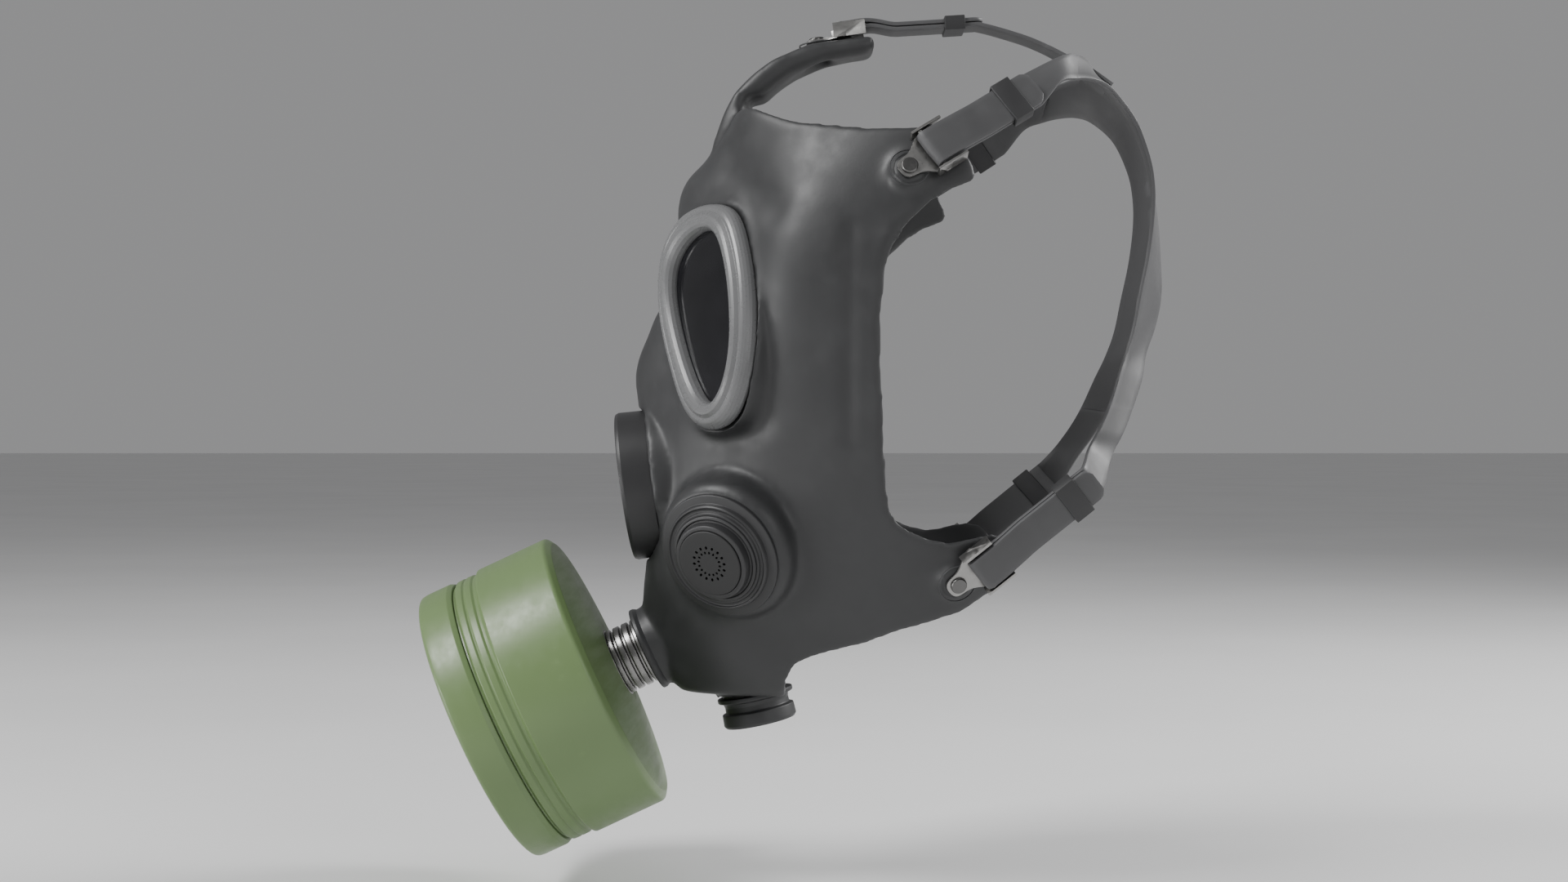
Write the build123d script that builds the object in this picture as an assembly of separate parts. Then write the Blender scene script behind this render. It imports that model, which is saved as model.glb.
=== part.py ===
from build123d import *
import os
from math import cos, sin, pi, radians

os.makedirs("parts", exist_ok=True)

# ---------------------------------------------------------------- driving dimensions, millimetres
# The mask faces -Y, +Z is up and X = 0 is the plane of symmetry.
# The origin is the centre of the face opening.
WALL = 3.0                 # rubber wall of the face blank
TAB_HALF = 12.0            # half width of the forehead tab at its end
TAB_END_Y = -4.5           # rear end of the forehead tab

RIM_LOW, RIM_HIGH = -3.5, 4.5      # lens rim, below and above the lens plane
PANE_T = 2.0                       # lens thickness
RIM_REACH = 0.32                   # how far the pane's edge runs under the rim, share of rim width

FRONT_R = 29.0             # front port, outer radius
FRONT_LEN = 12.0           # front port, length of its drum
CHEEK_R = 24.0             # cheek port, radius of its flat ring
CHEEK_RISE = 8.0           # cheek port, disc face above the flat ring
CHEEK_DISC_R = 12.7        # cheek port, perforated disc

THREAD_R = 13.0            # crest radius of the filter thread
THREAD_DEPTH = 1.3         # crest to root of the filter thread
PITCH = 3.63               # thread pitch
SOCKET_GAP = 0.08          # radial running clearance of the thread crests in the socket
SOCKET_WALL = 1.25         # metal wall of the inlet socket
COLLAR_T = 1.6             # rubber collar round the inlet socket
NECK_LEN = 22.3            # filter neck, from the can to its end

CAN_R = 56.0               # filter can, outer radius
CAN_LEN = 30.7             # filter can, length of its plain body
FILTER_LEN = 55.5          # filter, rear shoulder to front
SHEET = 0.8                # sheet metal of the filter

OUTLET_R = 14.4            # chin outlet, end ring radius
OUTLET_BORE_R = 10.5       # chin outlet, bore radius
OUTLET_LEN = 14.0          # chin outlet, length below the chin

STRAP_W = 14.0             # strap width
STRAP_T = 1.6              # strap thickness
BAR_R = 0.9                # buckle bar radius
KEEPER_LEN = 8.0           # keeper, length along the strap
RIVET_R = 1.6              # rivet shank radius
RIVET_HEAD_R = 3.0         # rivet head radius
FIT = 0.05                 # radial running clearance
SEAT = 0.05                # clearance of fixed inserts
SOFT = 0.3                 # room left between soft parts and between strap layers


# ---------------------------------------------------------------- helpers
def unit(v):
    n = (v[0] ** 2 + v[1] ** 2 + v[2] ** 2) ** 0.5
    return (v[0] / n, v[1] / n, v[2] / n)


def dot(a, b):
    return a[0] * b[0] + a[1] * b[1] + a[2] * b[2]


def along(p, d, s):
    return (p[0] + d[0] * s, p[1] + d[1] * s, p[2] + d[2] * s)


def flip(p, side):
    """Mirror a point or direction to the wearer's right when side is -1."""
    return (p[0] * side, p[1], p[2])


def frame(origin, z, x):
    """Plane with normal z and its x direction as near to x as can be."""
    z = unit(z)
    k = dot(x, z)
    x = unit((x[0] - z[0] * k, x[1] - z[1] * k, x[2] - z[2] * k))
    return Plane(origin=origin, x_dir=x, z_dir=z)


def turned(pl, pts):
    """Solid of revolution: pts are (radius, height) about the plane's normal."""
    face = make_face(Polyline(*[(r, 0, h) for r, h in pts], close=True).edges())
    return pl.location * revolve(face, axis=Axis.Z, revolution_arc=360)


def disc(pl, r, h0, h1):
    return pl.location * Pos(0, 0, (h0 + h1) / 2) * Cylinder(r, h1 - h0)


def tube(pl, r0, r1, h0, h1):
    return turned(pl, [(r0, h0), (r1, h0), (r1, h1), (r0, h1)])


def block(pl, x0, x1, y0, y1, z0, z1):
    return (pl.location * Pos((x0 + x1) / 2, (y0 + y1) / 2, (z0 + z1) / 2)
            * Box(x1 - x0, y1 - y0, z1 - z0))


def prism(pl, outline, h0, h1):
    """Closed smooth outline extruded along the plane's normal."""
    wire = Spline(*[(x, y) for x, y in outline], periodic=True)
    face = pl.offset(h0).location * make_face(wire.edges())
    return extrude(face, amount=h1 - h0, dir=pl.z_dir)


def holes(pl, radius, count, r, h0, h1, turn=0.0):
    out = Part()
    for i in range(count):
        a = 2 * pi * (i + turn) / count
        out += pl.location * Pos(radius * cos(a), radius * sin(a), (h0 + h1) / 2) * Cylinder(r, h1 - h0)
    return out


def between(a, b, k):
    return [(p[0] + (q[0] - p[0]) * k, p[1] + (q[1] - p[1]) * k) for p, q in zip(a, b)]


def save(shape, name):
    solids = shape.solids()
    out = solids[0] if len(solids) == 1 else Compound(children=list(solids))
    out.label = name
    export_step(out, "parts/" + name + ".step")


# ---------------------------------------------------------------- face blank: section table
# (z, outer half section from the front middle to the rear, as (x, y))
SECTIONS = [
    (112, [(0, -60), (12, -59), (28, -50), (43, -34), (52, -17), (58, 0), (61, 15), (61, 30), (60, 55)]),
    (90, [(0, -69.5), (12, -68.5), (30, -60), (48, -44), (59, -27), (67, -5), (70, 15), (70, 30), (68, 55)]),
    (78, [(0, -79.5), (12, -75.5), (30, -62), (49, -47), (61, -32.5), (69.5, -8.5), (73, 15), (73, 30),
          (71, 55)]),
    (65, [(0, -81.5), (12, -78), (30, -66), (50, -51), (63, -38), (71.5, -12), (75, 15), (75, 30), (73, 55)]),
    (25, [(0, -90.3), (12, -85), (30, -71.5), (50, -57), (64, -44), (72, -18), (75, 10), (75, 30), (73, 55)]),
    (-5, [(0, -97.3), (12, -92.5), (30, -79), (48, -64), (60, -48), (69, -22), (72, 5), (70, 30), (66, 55)]),
    (-35, [(0, -93.5), (12, -92), (28, -84), (43, -68), (55, -48), (65, -20), (68, 5), (65, 30), (60, 55)]),
    (-65, [(0, -93.5), (12, -91.5), (27, -84), (41, -68), (50, -47), (58, -18), (60, 6), (56.5, 30),
           (50, 55)]),
    (-90, [(0, -95), (10, -92.5), (21, -84), (32, -68), (40, -47), (47, -20), (49.5, 6), (47, 30), (42, 55)]),
    (-108, [(0, -88.5), (9, -86.5), (18, -78), (27, -63), (33, -45), (37, -22), (39, 6), (37, 30), (33, 55)]),
    (-118.5, [(0, -80), (7, -78), (13, -72), (19, -61), (23, -46), (26, -25), (27, 6), (26, 30), (24, 55)]),
]


def section(z, half, inset):
    """Closed section face at height z, its walls moved inwards by inset."""
    pts = []
    for i, (x, y) in enumerate(half):
        a, b = half[max(i - 1, 0)], half[min(i + 1, len(half) - 1)]
        if i == 0:
            nx, ny = 0.0, -1.0
        elif i == len(half) - 1:
            nx, ny = 1.0, 0.0
        else:
            tx, ty = b[0] - a[0], b[1] - a[1]
            n = (tx * tx + ty * ty) ** 0.5
            nx, ny = ty / n, -tx / n
        pts.append((x - nx * inset, y - ny * inset, z))
    left = [(-x, y, h) for x, y, h in reversed(pts[1:])]
    curve = Spline(*(left + pts), tangents=[(0, -1, 0), (0, 1, 0)])
    return make_face([curve.edge(), Line(curve @ 1, curve @ 0).edge()])


def face_solid(inset):
    rows = [(z, half) for z, half in SECTIONS]
    if inset:
        rows[-1] = (rows[-1][0] + inset, rows[-1][1])
    return loft([section(z, half, inset) for z, half in rows])


# side outline of the rubber, (y, z): top edge, temple tab, rear edge, cheek tab, jaw and chin
SIDE = [
    (-125, 107), (-62, 107), (-51.5, 105.5), (-40, 99.5), (-28, 96), (-12, 93.5), (0, 92.7), (12.5, 92.6),
    (20, 90), (26, 84.5), (30, 75), (29, 72), (25.5, 70.5), (18, 67.5), (12, 64.5), (5, 57.8),
    (-0.5, 49), (-3.3, 42), (-5, 25), (-4.8, 5), (-3.9, -15), (-2.9, -35), (-1.5, -46), (2.5, -51.5),
    (13, -56.5), (20.5, -57.3), (28, -55.5), (36, -53.8), (42.5, -55), (46.5, -60), (48.2, -66),
    (46.5, -70), (40, -75.5), (32.5, -80), (25, -85), (12, -88.6), (1.5, -91.5), (-10, -96.3),
    (-28, -101.5), (-36, -105), (-39, -112), (-39, -130), (-125, -130),
]
# forehead tab, (y, z) outer side then underside
TAB = [
    (-68.5, 88), (-67, 95.5), (-63.4, 106), (-58.9, 114.5), (-52.5, 121), (-44.8, 126.8), (-34, 131.8),
    (-20, 134.9), (TAB_END_Y, 136.8), (TAB_END_Y, 130), (-15, 128.6), (-25.6, 126), (-35, 122),
    (-42.6, 117), (-48.6, 111), (-52.5, 104), (-56, 96), (-64, 88),
]

# lens plane (wearer's left), its outlines as (towards the temple, up)
LENS_C = (40.0, -69.0, 25.5)
LENS_N = (0.574, -0.807, 0.139)
LENS_H = (0.815, 0.579, 0.0)
LENS_OUT = [(-2, 42.5), (10, 39), (19, 27), (26, 12), (30.5, -7), (30.5, -23), (25, -37), (14.5, -42),
            (2.5, -40), (-8, -32), (-18, -18.5), (-27.5, -3.5), (-33.5, 12), (-34, 27), (-27, 37.5),
            (-15, 42)]
LENS_IN = [(-3, 33.5), (5, 29.5), (13, 18), (19, 4), (22.5, -10), (22.3, -22), (18, -31.5), (12, -33.5),
           (4.5, -28.5), (-3.5, -20), (-11, -10), (-17.5, 0.5), (-22.5, 11.5), (-23, 20.5), (-18.5, 27.5),
           (-11, 32)]


def lens_plane(side):
    pl = frame(flip(LENS_C, side), flip(LENS_N, side), flip(LENS_H, side))
    return pl


def lens_outline(side, k):
    """Outline between the rim's outside (k = 0) and its opening (k = 1), on either side."""
    pts = between(LENS_OUT, LENS_IN, k)
    if side > 0:
        return pts
    # the right plane's y runs down, so that its outline is the mirror image of the left one
    return [(x, -y) for x, y in pts]


# ports
FRONT_C, FRONT_D = (0.0, -102.1, -38.7), unit((0, -0.990, -0.139))
CHEEK_C, CHEEK_D = (52.0, -63.7, -62.9), unit((0.80, -0.44, -0.34))
FILTER_C, FILTER_D = (0.0, -108.5, -109.2), unit((0, -cos(radians(25)), -sin(radians(25))))
OUTLET_C, OUTLET_D = (0.0, -52.0, -117.0), unit((0, 0.208, -0.978))
X = (1.0, 0.0, 0.0)
front = frame(FRONT_C, FRONT_D, X)
inlet = frame(FILTER_C, FILTER_D, X)
outlet = frame(OUTLET_C, OUTLET_D, X)
cheeks = {s: frame(flip(CHEEK_C, s), flip(CHEEK_D, s), (0, 1, 0)) for s in (1, -1)}

# sizes that follow from the driving ones
FRONT_TUBE_R = FRONT_R - 4.6           # tube of the front housing through the rubber
FRONT_BACK = -FRONT_LEN - 8.0          # rear end of that tube
CHEEK_WALL_R = CHEEK_DISC_R + 4.3      # outer wall of a cheek housing
CHEEK_STEP_R = (CHEEK_WALL_R + CHEEK_R) / 2
THREAD_ROOT_R = THREAD_R - THREAD_DEPTH
SOCKET_R = THREAD_R + SOCKET_WALL
COLLAR_R = SOCKET_R + COLLAR_T
NECK_END = -4.0 - NECK_LEN             # inner end of the filter neck
PILOT_R = THREAD_ROOT_R - 1.8          # pilot of the neck, inside the gasket
VALVE_FACE = NECK_END - 9.6            # inner face of the inlet valve's seat
LID_R = CAN_R - 0.5
CAN_BORE_R = CAN_R - 3.6
BED_R = CAN_R - 4.0                    # carbon bed and screens
ELEMENT_TOP = FILTER_LEN - 5.3
OUTLET_NECK_R = OUTLET_BORE_R + 2.1

# buckle frames: origin at the rivet on the rubber, x along the strap, z away from the head
buckles = {
    "left_temple": frame((76.0, 4.8, 77.0), (0.92, 0.03, 0.36), (0, 0.806, 0.592)),
    "right_temple": frame((-76.0, 4.8, 77.0), (-0.92, 0.03, 0.36), (0, 0.806, 0.592)),
    "left_cheek": frame((59.5, 23.3, -73.0), (0.88, 0.26, -0.38), (0, 0.766, 0.643)),
    "right_cheek": frame((-59.5, 23.3, -73.0), (-0.88, 0.26, -0.38), (0, 0.766, 0.643)),
    "forehead": frame((0, -27.0, 134.8), (0, -0.13, 0.99), (0, 0.99, 0.13)),
}
# distance from the rivet to the keeper's middle, and to the strap end's cut
KEEPER_AT = {"left_temple": 45.0, "right_temple": 45.0, "left_cheek": 52.0, "right_cheek": 52.0,
             "forehead": 54.0}
# how far each strap leans down from its buckle, turning on the bar, degrees
LEAN = {"forehead": 4.0}
CUT_PAST_KEEPER = 9.0      # the strap end stops this far past the keeper's middle
CUT_GAP = 1.2              # gap to the harness there, so that the buckle can swing
BUCKLE_FOLD = 10.0         # rivet to the buckle bar, along the strap
SETTLE = 14.0              # the outer layer comes down to the inner one over this length
TAB_T = 4.6                # thickness gripped by each rivet
PAD_R = 7.0                # radius of the pad round each rivet

BAR_GAP = 2 * BAR_R + 2 * FIT              # room for the bar between the strap's layers
STRAP_LOW = 1.3                            # underside of the strap above the rubber
BAR_Z = STRAP_LOW + STRAP_T + BAR_GAP / 2  # bar's axis above the rubber
FOLD_TOP = STRAP_LOW + 2 * STRAP_T + BAR_GAP
PAIR_TOP = STRAP_LOW + 2 * STRAP_T + SOFT  # top of the two settled layers


def strap_frame(name):
    """The buckle's frame turned on its bar, for the strap that leaves it."""
    return Plane(buckles[name].location * Pos(BUCKLE_FOLD, 0, BAR_Z) * Rot(0, LEAN.get(name, 0.0), 0)
                 * Pos(-BUCKLE_FOLD, 0, -BAR_Z))


straps = {name: strap_frame(name) for name in buckles}

# ---------------------------------------------------------------- face blank
body = face_solid(0)
side_cut = extrude(Plane.YZ.offset(-150) * make_face(Polyline(*SIDE, close=True).edges()), amount=300)
body = body & side_cut
for s in (1, -1):
    lp = lens_plane(s)
    body += prism(lp, lens_outline(s, -0.22), -13, -1.5)
    body += turned(cheeks[s], [(0, -16), (CHEEK_R + 3.5, -16), (CHEEK_R + 3.5, -4), (CHEEK_R + 1.5, -1),
                               (0, -1)])
body += turned(front, [(0, -FRONT_LEN - 18), (FRONT_R + 1.5, -FRONT_LEN - 18),
                       (FRONT_R + 1.5, -FRONT_LEN - 0.5), (FRONT_R + 1, -FRONT_LEN), (0, -FRONT_LEN)])
body += disc(inlet, COLLAR_R, -34, -16.3)
body += disc(outlet, OUTLET_NECK_R + 2.4, -8, 1.2)
inner = face_solid(WALL)
# the tab plan: narrow at its end, spreading into the forehead
plan = [(-15, -76), (-14, -50), (-TAB_HALF, -24), (-TAB_HALF, 0),
        (TAB_HALF, 0), (TAB_HALF, -24), (14, -50), (15, -76)]
tab = extrude(Plane.YZ.offset(-50) * make_face(Polyline(*TAB, close=True).edges()), amount=100)
tab = tab & extrude(Plane.XY.offset(80) * make_face(Polyline(*plan, close=True).edges()), amount=80)
cavity = inner
for name in ("left_temple", "right_temple", "left_cheek", "right_cheek"):
    body += disc(buckles[name], PAD_R, -TAB_T, 0)
    cavity -= disc(buckles[name], PAD_R, -TAB_T, 0)
blank = body - cavity
blank += tab - inner
blank += disc(buckles["forehead"], PAD_R, -5, 0)
for s in (1, -1):
    lp = lens_plane(s)
    blank -= prism(lp, lens_outline(s, 0.92), -45, 12)
    blank -= prism(lp, lens_outline(s, -0.03), RIM_LOW, 30)
    blank -= disc(cheeks[s], CHEEK_WALL_R + SEAT, -30, 6)
    blank -= disc(cheeks[s], CHEEK_WALL_R + 5.5, -40, -13.9)
blank -= disc(front, FRONT_TUBE_R + 2 * SEAT, -FRONT_LEN - 33, 2)
blank -= disc(front, FRONT_R + 0.2, -FRONT_LEN, 4)
blank -= disc(front, FRONT_TUBE_R + 3.9, -FRONT_LEN - 33, FRONT_BACK + 2.1)
blank -= disc(outlet, OUTLET_NECK_R + 2.8, 1.2, 14)
blank -= disc(inlet, SOCKET_R + SEAT, -60, 5)
blank -= disc(outlet, OUTLET_NECK_R + SEAT, -30, 5)
for pl in buckles.values():
    blank -= disc(pl, RIVET_R + SEAT, -9, 3)
    blank -= disc(pl, 5.2, -14, -TAB_T - 0.4)
save(sorted(blank.solids(), key=lambda q: q.volume)[-1], "face_blank")

# ---------------------------------------------------------------- lenses
for s, tag in ((1, "left"), (-1, "right")):
    lp = lens_plane(s)
    edge = 1 - RIM_REACH
    rim = prism(lp, lens_outline(s, 0), RIM_LOW, RIM_HIGH)
    rim -= prism(lp, lens_outline(s, 1), RIM_LOW - 1, RIM_HIGH + 1)
    rim -= prism(lp, lens_outline(s, edge - 0.02), RIM_LOW - 1, 1.6)
    save(rim, "lens_rim_" + tag)
    save(prism(lp, lens_outline(s, edge), 1.5 - PANE_T, 1.5), "lens_" + tag)
    ring = prism(lp, lens_outline(s, edge), RIM_LOW + SEAT, 1.5 - SEAT - PANE_T)
    ring -= prism(lp, lens_outline(s, 1.0), RIM_LOW - 1, 3)
    save(ring, "lens_retainer_" + tag)

# ---------------------------------------------------------------- front port
save(turned(front, [
    (FRONT_TUBE_R, FRONT_BACK), (FRONT_TUBE_R, SEAT - FRONT_LEN), (FRONT_R, SEAT - FRONT_LEN), (FRONT_R, 0),
    (FRONT_R - 3, 0), (FRONT_R - 3, -3), (FRONT_R - 8, -3), (FRONT_R - 8, -5), (FRONT_R - 12, -5),
    (FRONT_R - 12, FRONT_BACK)]), "front_port_housing")
cover = tube(front, 0, FRONT_R - 3.1, -2.9, -1.4)
for ring_r, count in ((8, 8), (14, 12), (20, 18)):
    cover -= holes(front, ring_r, count, 1.6, -4, 1)
save(cover, "front_port_cover")
save(disc(front, FRONT_R - 8.1, -4.3, -4.0), "front_diaphragm")
save(tube(front, FRONT_R - 11, FRONT_R - 8.1, -3.95, -3.05), "diaphragm_ring")
save(tube(front, FRONT_TUBE_R + 0.2, FRONT_TUBE_R + 3.6, FRONT_BACK, FRONT_BACK + 2), "front_port_nut")

# ---------------------------------------------------------------- cheek ports
cheek_nuts = []
for s, tag in ((1, "left"), (-1, "right")):
    pl = cheeks[s]
    w, d = CHEEK_WALL_R, CHEEK_DISC_R
    save(turned(pl, [(w + 0.1, -1), (CHEEK_R, -1), (CHEEK_R, 0.6), (CHEEK_STEP_R, 0.9), (CHEEK_STEP_R, 3.2),
                     (w + 0.1, 3.2)]), "cheek_ring_" + tag)
    housing = turned(pl, [
        (d - 0.7, -9), (d + 1.9, -9), (d + 1.9, -17), (w, -17), (w, 3.6), (d + 2.9, 3.8), (d + 2.9, 5.2),
        (d + 1.9, 5.4), (d + 1.5, CHEEK_RISE - 1.0), (d + 0.1, CHEEK_RISE - 1.0), (d + 0.1, CHEEK_RISE - 3.5),
        (d - 0.7, CHEEK_RISE - 3.5)])
    housing += tube(pl, d - 4.2, d - 0.5, -7, -5.5) + tube(pl, 1.55, 2.8, -7, -5.5)
    for k in range(3):
        housing += block(Plane(pl.location * Rot(0, 0, 120 * k)), 1.6, d - 3.5, -0.7, 0.7, -7, -5.5)
    save(housing, "cheek_housing_" + tag)
    cap = disc(pl, d, CHEEK_RISE - 3.4, CHEEK_RISE)
    cap -= disc(pl, d - 1.4, CHEEK_RISE - 4, CHEEK_RISE - 1.2)
    cap -= holes(pl, 4.4, 16, 0.45, CHEEK_RISE - 2, CHEEK_RISE + 1)
    cap -= holes(pl, 6.2, 16, 0.5, CHEEK_RISE - 2, CHEEK_RISE + 1, 0.5)
    save(cap, "cheek_cap_" + tag)
    save(disc(pl, d - 2.5, -5.45, -4.65) + disc(pl, 1.5, -8.2, -5.0)
         + turned(pl, [(0, -9.6), (2.2, -9.6), (1.5, -8.2), (0, -8.2)]), "cheek_valve_" + tag)
    cheek_nuts.append(tube(pl, w + 0.15, w + 5, -16.5, -14.0).solids()[0])
save(Compound(children=cheek_nuts), "cheek_nuts")

# ---------------------------------------------------------------- inlet
BACK = VALVE_FACE - 2.1                # inner end of the socket
save(turned(inlet, [
    (THREAD_R + SOCKET_GAP, -16.6), (SOCKET_R, -16.6), (SOCKET_R, BACK), (THREAD_R - 2.4, BACK),
    (THREAD_R - 2.4, BACK + 2), (THREAD_R - 0.4, BACK + 2), (THREAD_R - 0.4, BACK + 4.4),
    (THREAD_R - 2.8, BACK + 4.4), (THREAD_R - 2.8, NECK_END - 3.0), (THREAD_R + SOCKET_GAP, NECK_END - 3.0)]),
    "inlet_socket")
seat = tube(inlet, THREAD_R - 3.6, THREAD_R - 0.5, VALVE_FACE, VALVE_FACE + 2.2)
seat += tube(inlet, 1.55, 2.8, VALVE_FACE, VALVE_FACE + 2.2)
for k in range(4):
    seat += block(Plane(inlet.location * Rot(0, 0, 90 * k)), 2.2, THREAD_R - 3.2, -0.7, 0.7,
                  VALVE_FACE, VALVE_FACE + 2.2)
save(seat, "inhale_seat")
save(disc(inlet, THREAD_R - 2.7, VALVE_FACE - 0.9, VALVE_FACE - 0.05)
     + disc(inlet, 1.5, VALVE_FACE - 0.1, VALVE_FACE + 4.6)
     + disc(inlet, 2.1, VALVE_FACE + 4.3, VALVE_FACE + 5.0), "inhale_valve")

# ---------------------------------------------------------------- filter
L = CAN_LEN
save(turned(inlet, [
    (THREAD_R + 0.6, -4.0), (CAN_R - 2, -0.3), (CAN_R, 1.2), (CAN_R, L), (CAN_R - 1.6, L + 0.7),
    (CAN_R - 1.6, L + 1.9), (CAN_R - 1, L + 2.6), (CAN_R - 1, L + 5.1), (CAN_R - 1.5, L + 5.6),
    (CAN_R - 1, L + 6.2), (CAN_R - 1, L + 8.7), (CAN_R - 2.4, L + 9.5), (CAN_R - 2.4, L + 10.2),
    (CAN_BORE_R, L + 10.2), (CAN_BORE_R, L + 1.3), (CAN_R - SHEET, L - 1), (CAN_R - SHEET, 2.0),
    (CAN_R - SHEET - 1.4, 0.9), (THREAD_R + 0.6, -2.75)]), "filter_can")
save(turned(inlet, [
    (22, FILTER_LEN - 2.4), (44, FILTER_LEN - 1.4), (CAN_R - 3, FILTER_LEN), (CAN_R - 1.4, FILTER_LEN - 0.3),
    (LID_R, FILTER_LEN - 1.6), (LID_R, L + 11.7), (LID_R - 0.7, L + 10.4), (LID_R - 2.5, L + 10.4),
    (LID_R - 2.5, L + 11.7), (LID_R - SHEET, L + 12.5), (LID_R - SHEET, FILTER_LEN - 2.0),
    (CAN_R - 3.4, FILTER_LEN - 1.4), (44, FILTER_LEN - 2.7), (22, FILTER_LEN - 3.7)]), "filter_lid")
# the neck: a flange inside the can, the thread as rings, and a pilot at the end
ROOT, CREST = THREAD_ROOT_R, THREAD_R
profile = [(PILOT_R - 0.9, -0.7), (20.0, -0.7), (20.0, -1.9), (CREST + 0.5, -2.7), (CREST + 0.5, -4.2),
           (ROOT, -4.25), (CREST, -4.5), (CREST, -5.5), (ROOT, -6.1)]
z = -4.9 - PITCH
while z > NECK_END + 1.6:
    profile += [(ROOT, z + 1.2), (CREST, z + 0.6), (CREST, z - 0.6), (ROOT, z - 1.2)]
    z -= PITCH
profile += [(ROOT, NECK_END), (PILOT_R, NECK_END), (PILOT_R, NECK_END - 2.2), (PILOT_R - 0.9, NECK_END - 2.2)]
save(turned(inlet, profile), "filter_neck")
save(tube(inlet, PILOT_R + FIT, THREAD_R - 0.6, NECK_END - 2.6, NECK_END - 0.1), "neck_gasket")
for name, low in (("rear_screen", 1.6), ("front_screen", L - 0.6)):
    screen = tube(inlet, 0, BED_R, low, low + 1.0)
    for ring_r, count in ((12, 12), (24, 20), (36, 28), (46, 34)):
        screen -= holes(inlet, ring_r, count, 1.5, low - 1, low + 2)
    save(screen, name)
save(disc(inlet, BED_R, 2.7, L - 0.7), "carbon_bed")
pleats = []
for k in range(13):
    pleats += [(-48 + 8 * k, L + 0.7), (-44 + 8 * k, ELEMENT_TOP - 3.2)]
fold = pleats + [(x, h + 3.0) for x, h in reversed(pleats)]
pleat = extrude(Plane(origin=FILTER_C, x_dir=(1, 0, 0), z_dir=inlet.x_dir.cross(inlet.z_dir))
                * make_face(Polyline(*fold, close=True).edges()), amount=CAN_R + 4, both=True)
save(pleat & disc(inlet, BED_R - 0.2, L + 0.6, ELEMENT_TOP), "particulate_element")
grille = disc(inlet, 26, FILTER_LEN - 5.0, FILTER_LEN - 3.9)
for ring_r, count in ((5, 6), (11, 12), (17, 18)):
    grille -= holes(inlet, ring_r, count, 1.4, FILTER_LEN - 6, FILTER_LEN)
save(grille, "intake_grille")

# ---------------------------------------------------------------- chin outlet
N, R = OUTLET_NECK_R, OUTLET_R
save(turned(outlet, [
    (OUTLET_BORE_R, -9), (N, -9), (N, 1.4), (N + 2, 1.6), (N + 2, 3.0), (N + 0.1, 3.4),
    (N - 0.2, OUTLET_LEN - 5.8), (R, OUTLET_LEN - 5.2), (R, OUTLET_LEN - 0.8), (R - 0.8, OUTLET_LEN), (OUTLET_BORE_R, OUTLET_LEN)]),
    "outlet_housing")
seat = tube(outlet, OUTLET_BORE_R - 2.3, OUTLET_BORE_R - SEAT, -6, -4.2) + tube(outlet, 1.55, 2.8, -6, -4.2)
for k in range(4):
    seat += block(Plane(outlet.location * Rot(0, 0, 90 * k)), 2.2, OUTLET_BORE_R - 1.9, -0.7, 0.7, -6, -4.2)
save(seat, "outlet_seat")
save(disc(outlet, OUTLET_BORE_R - 0.9, -4.15, -3.2) + disc(outlet, 1.5, -8.6, -4.0)
     + disc(outlet, 2.1, -9.4, -8.4), "exhale_valve")
save(tube(outlet, N + 0.05, N + 3.9, -7.5, -5.5), "outlet_clamp")

# ---------------------------------------------------------------- nose cup, on the front port's axis
B = FRONT_BACK
cup = turned(front, [
    (15.0, B - 1), (17.2, B - 1), (18.4, B - 10), (24, B - 22), (30, B - 34), (37, B - 50), (41, B - 54),
    (41.5, B - 52.5), (38.6, B - 48.5), (32, B - 33.2), (26, B - 21.2), (20.4, B - 9.4), (19.2, B - 2),
    (22.0, B - 0.5), (22.0, B - 0.1), (15.0, B - 0.1)])
seats = {}
for s in (1, -1):
    radial = unit((s * 0.94, 0.04, -0.34))
    point = along(along(FRONT_C, FRONT_D, B - 30), radial, 28.8)
    seats[s] = frame(point, along(tuple(0.89 * c for c in radial), FRONT_D, 0.45), FRONT_D)
    cup -= disc(seats[s], 7.05, -6, 6)
save(cup, "nose_cup")
for s, tag in ((1, "left"), (-1, "right")):
    pl = seats[s]
    seat = tube(pl, 5.2, 7.0, -1.4, 1.6) + tube(pl, 6.5, 8.6, 1.5, 2.4) + tube(pl, 1.05, 2.0, -1.4, 0)
    for k in range(3):
        seat += block(Plane(pl.location * Rot(0, 0, 120 * k)), 1.4, 5.6, -0.5, 0.5, -1.4, 0)
    save(seat, "cup_seat_" + tag)
    save(disc(pl, 6.2, -2.2, -1.45) + disc(pl, 1.0, -1.6, 1.9) + disc(pl, 1.5, 1.7, 2.4), "cup_valve_" + tag)

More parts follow.
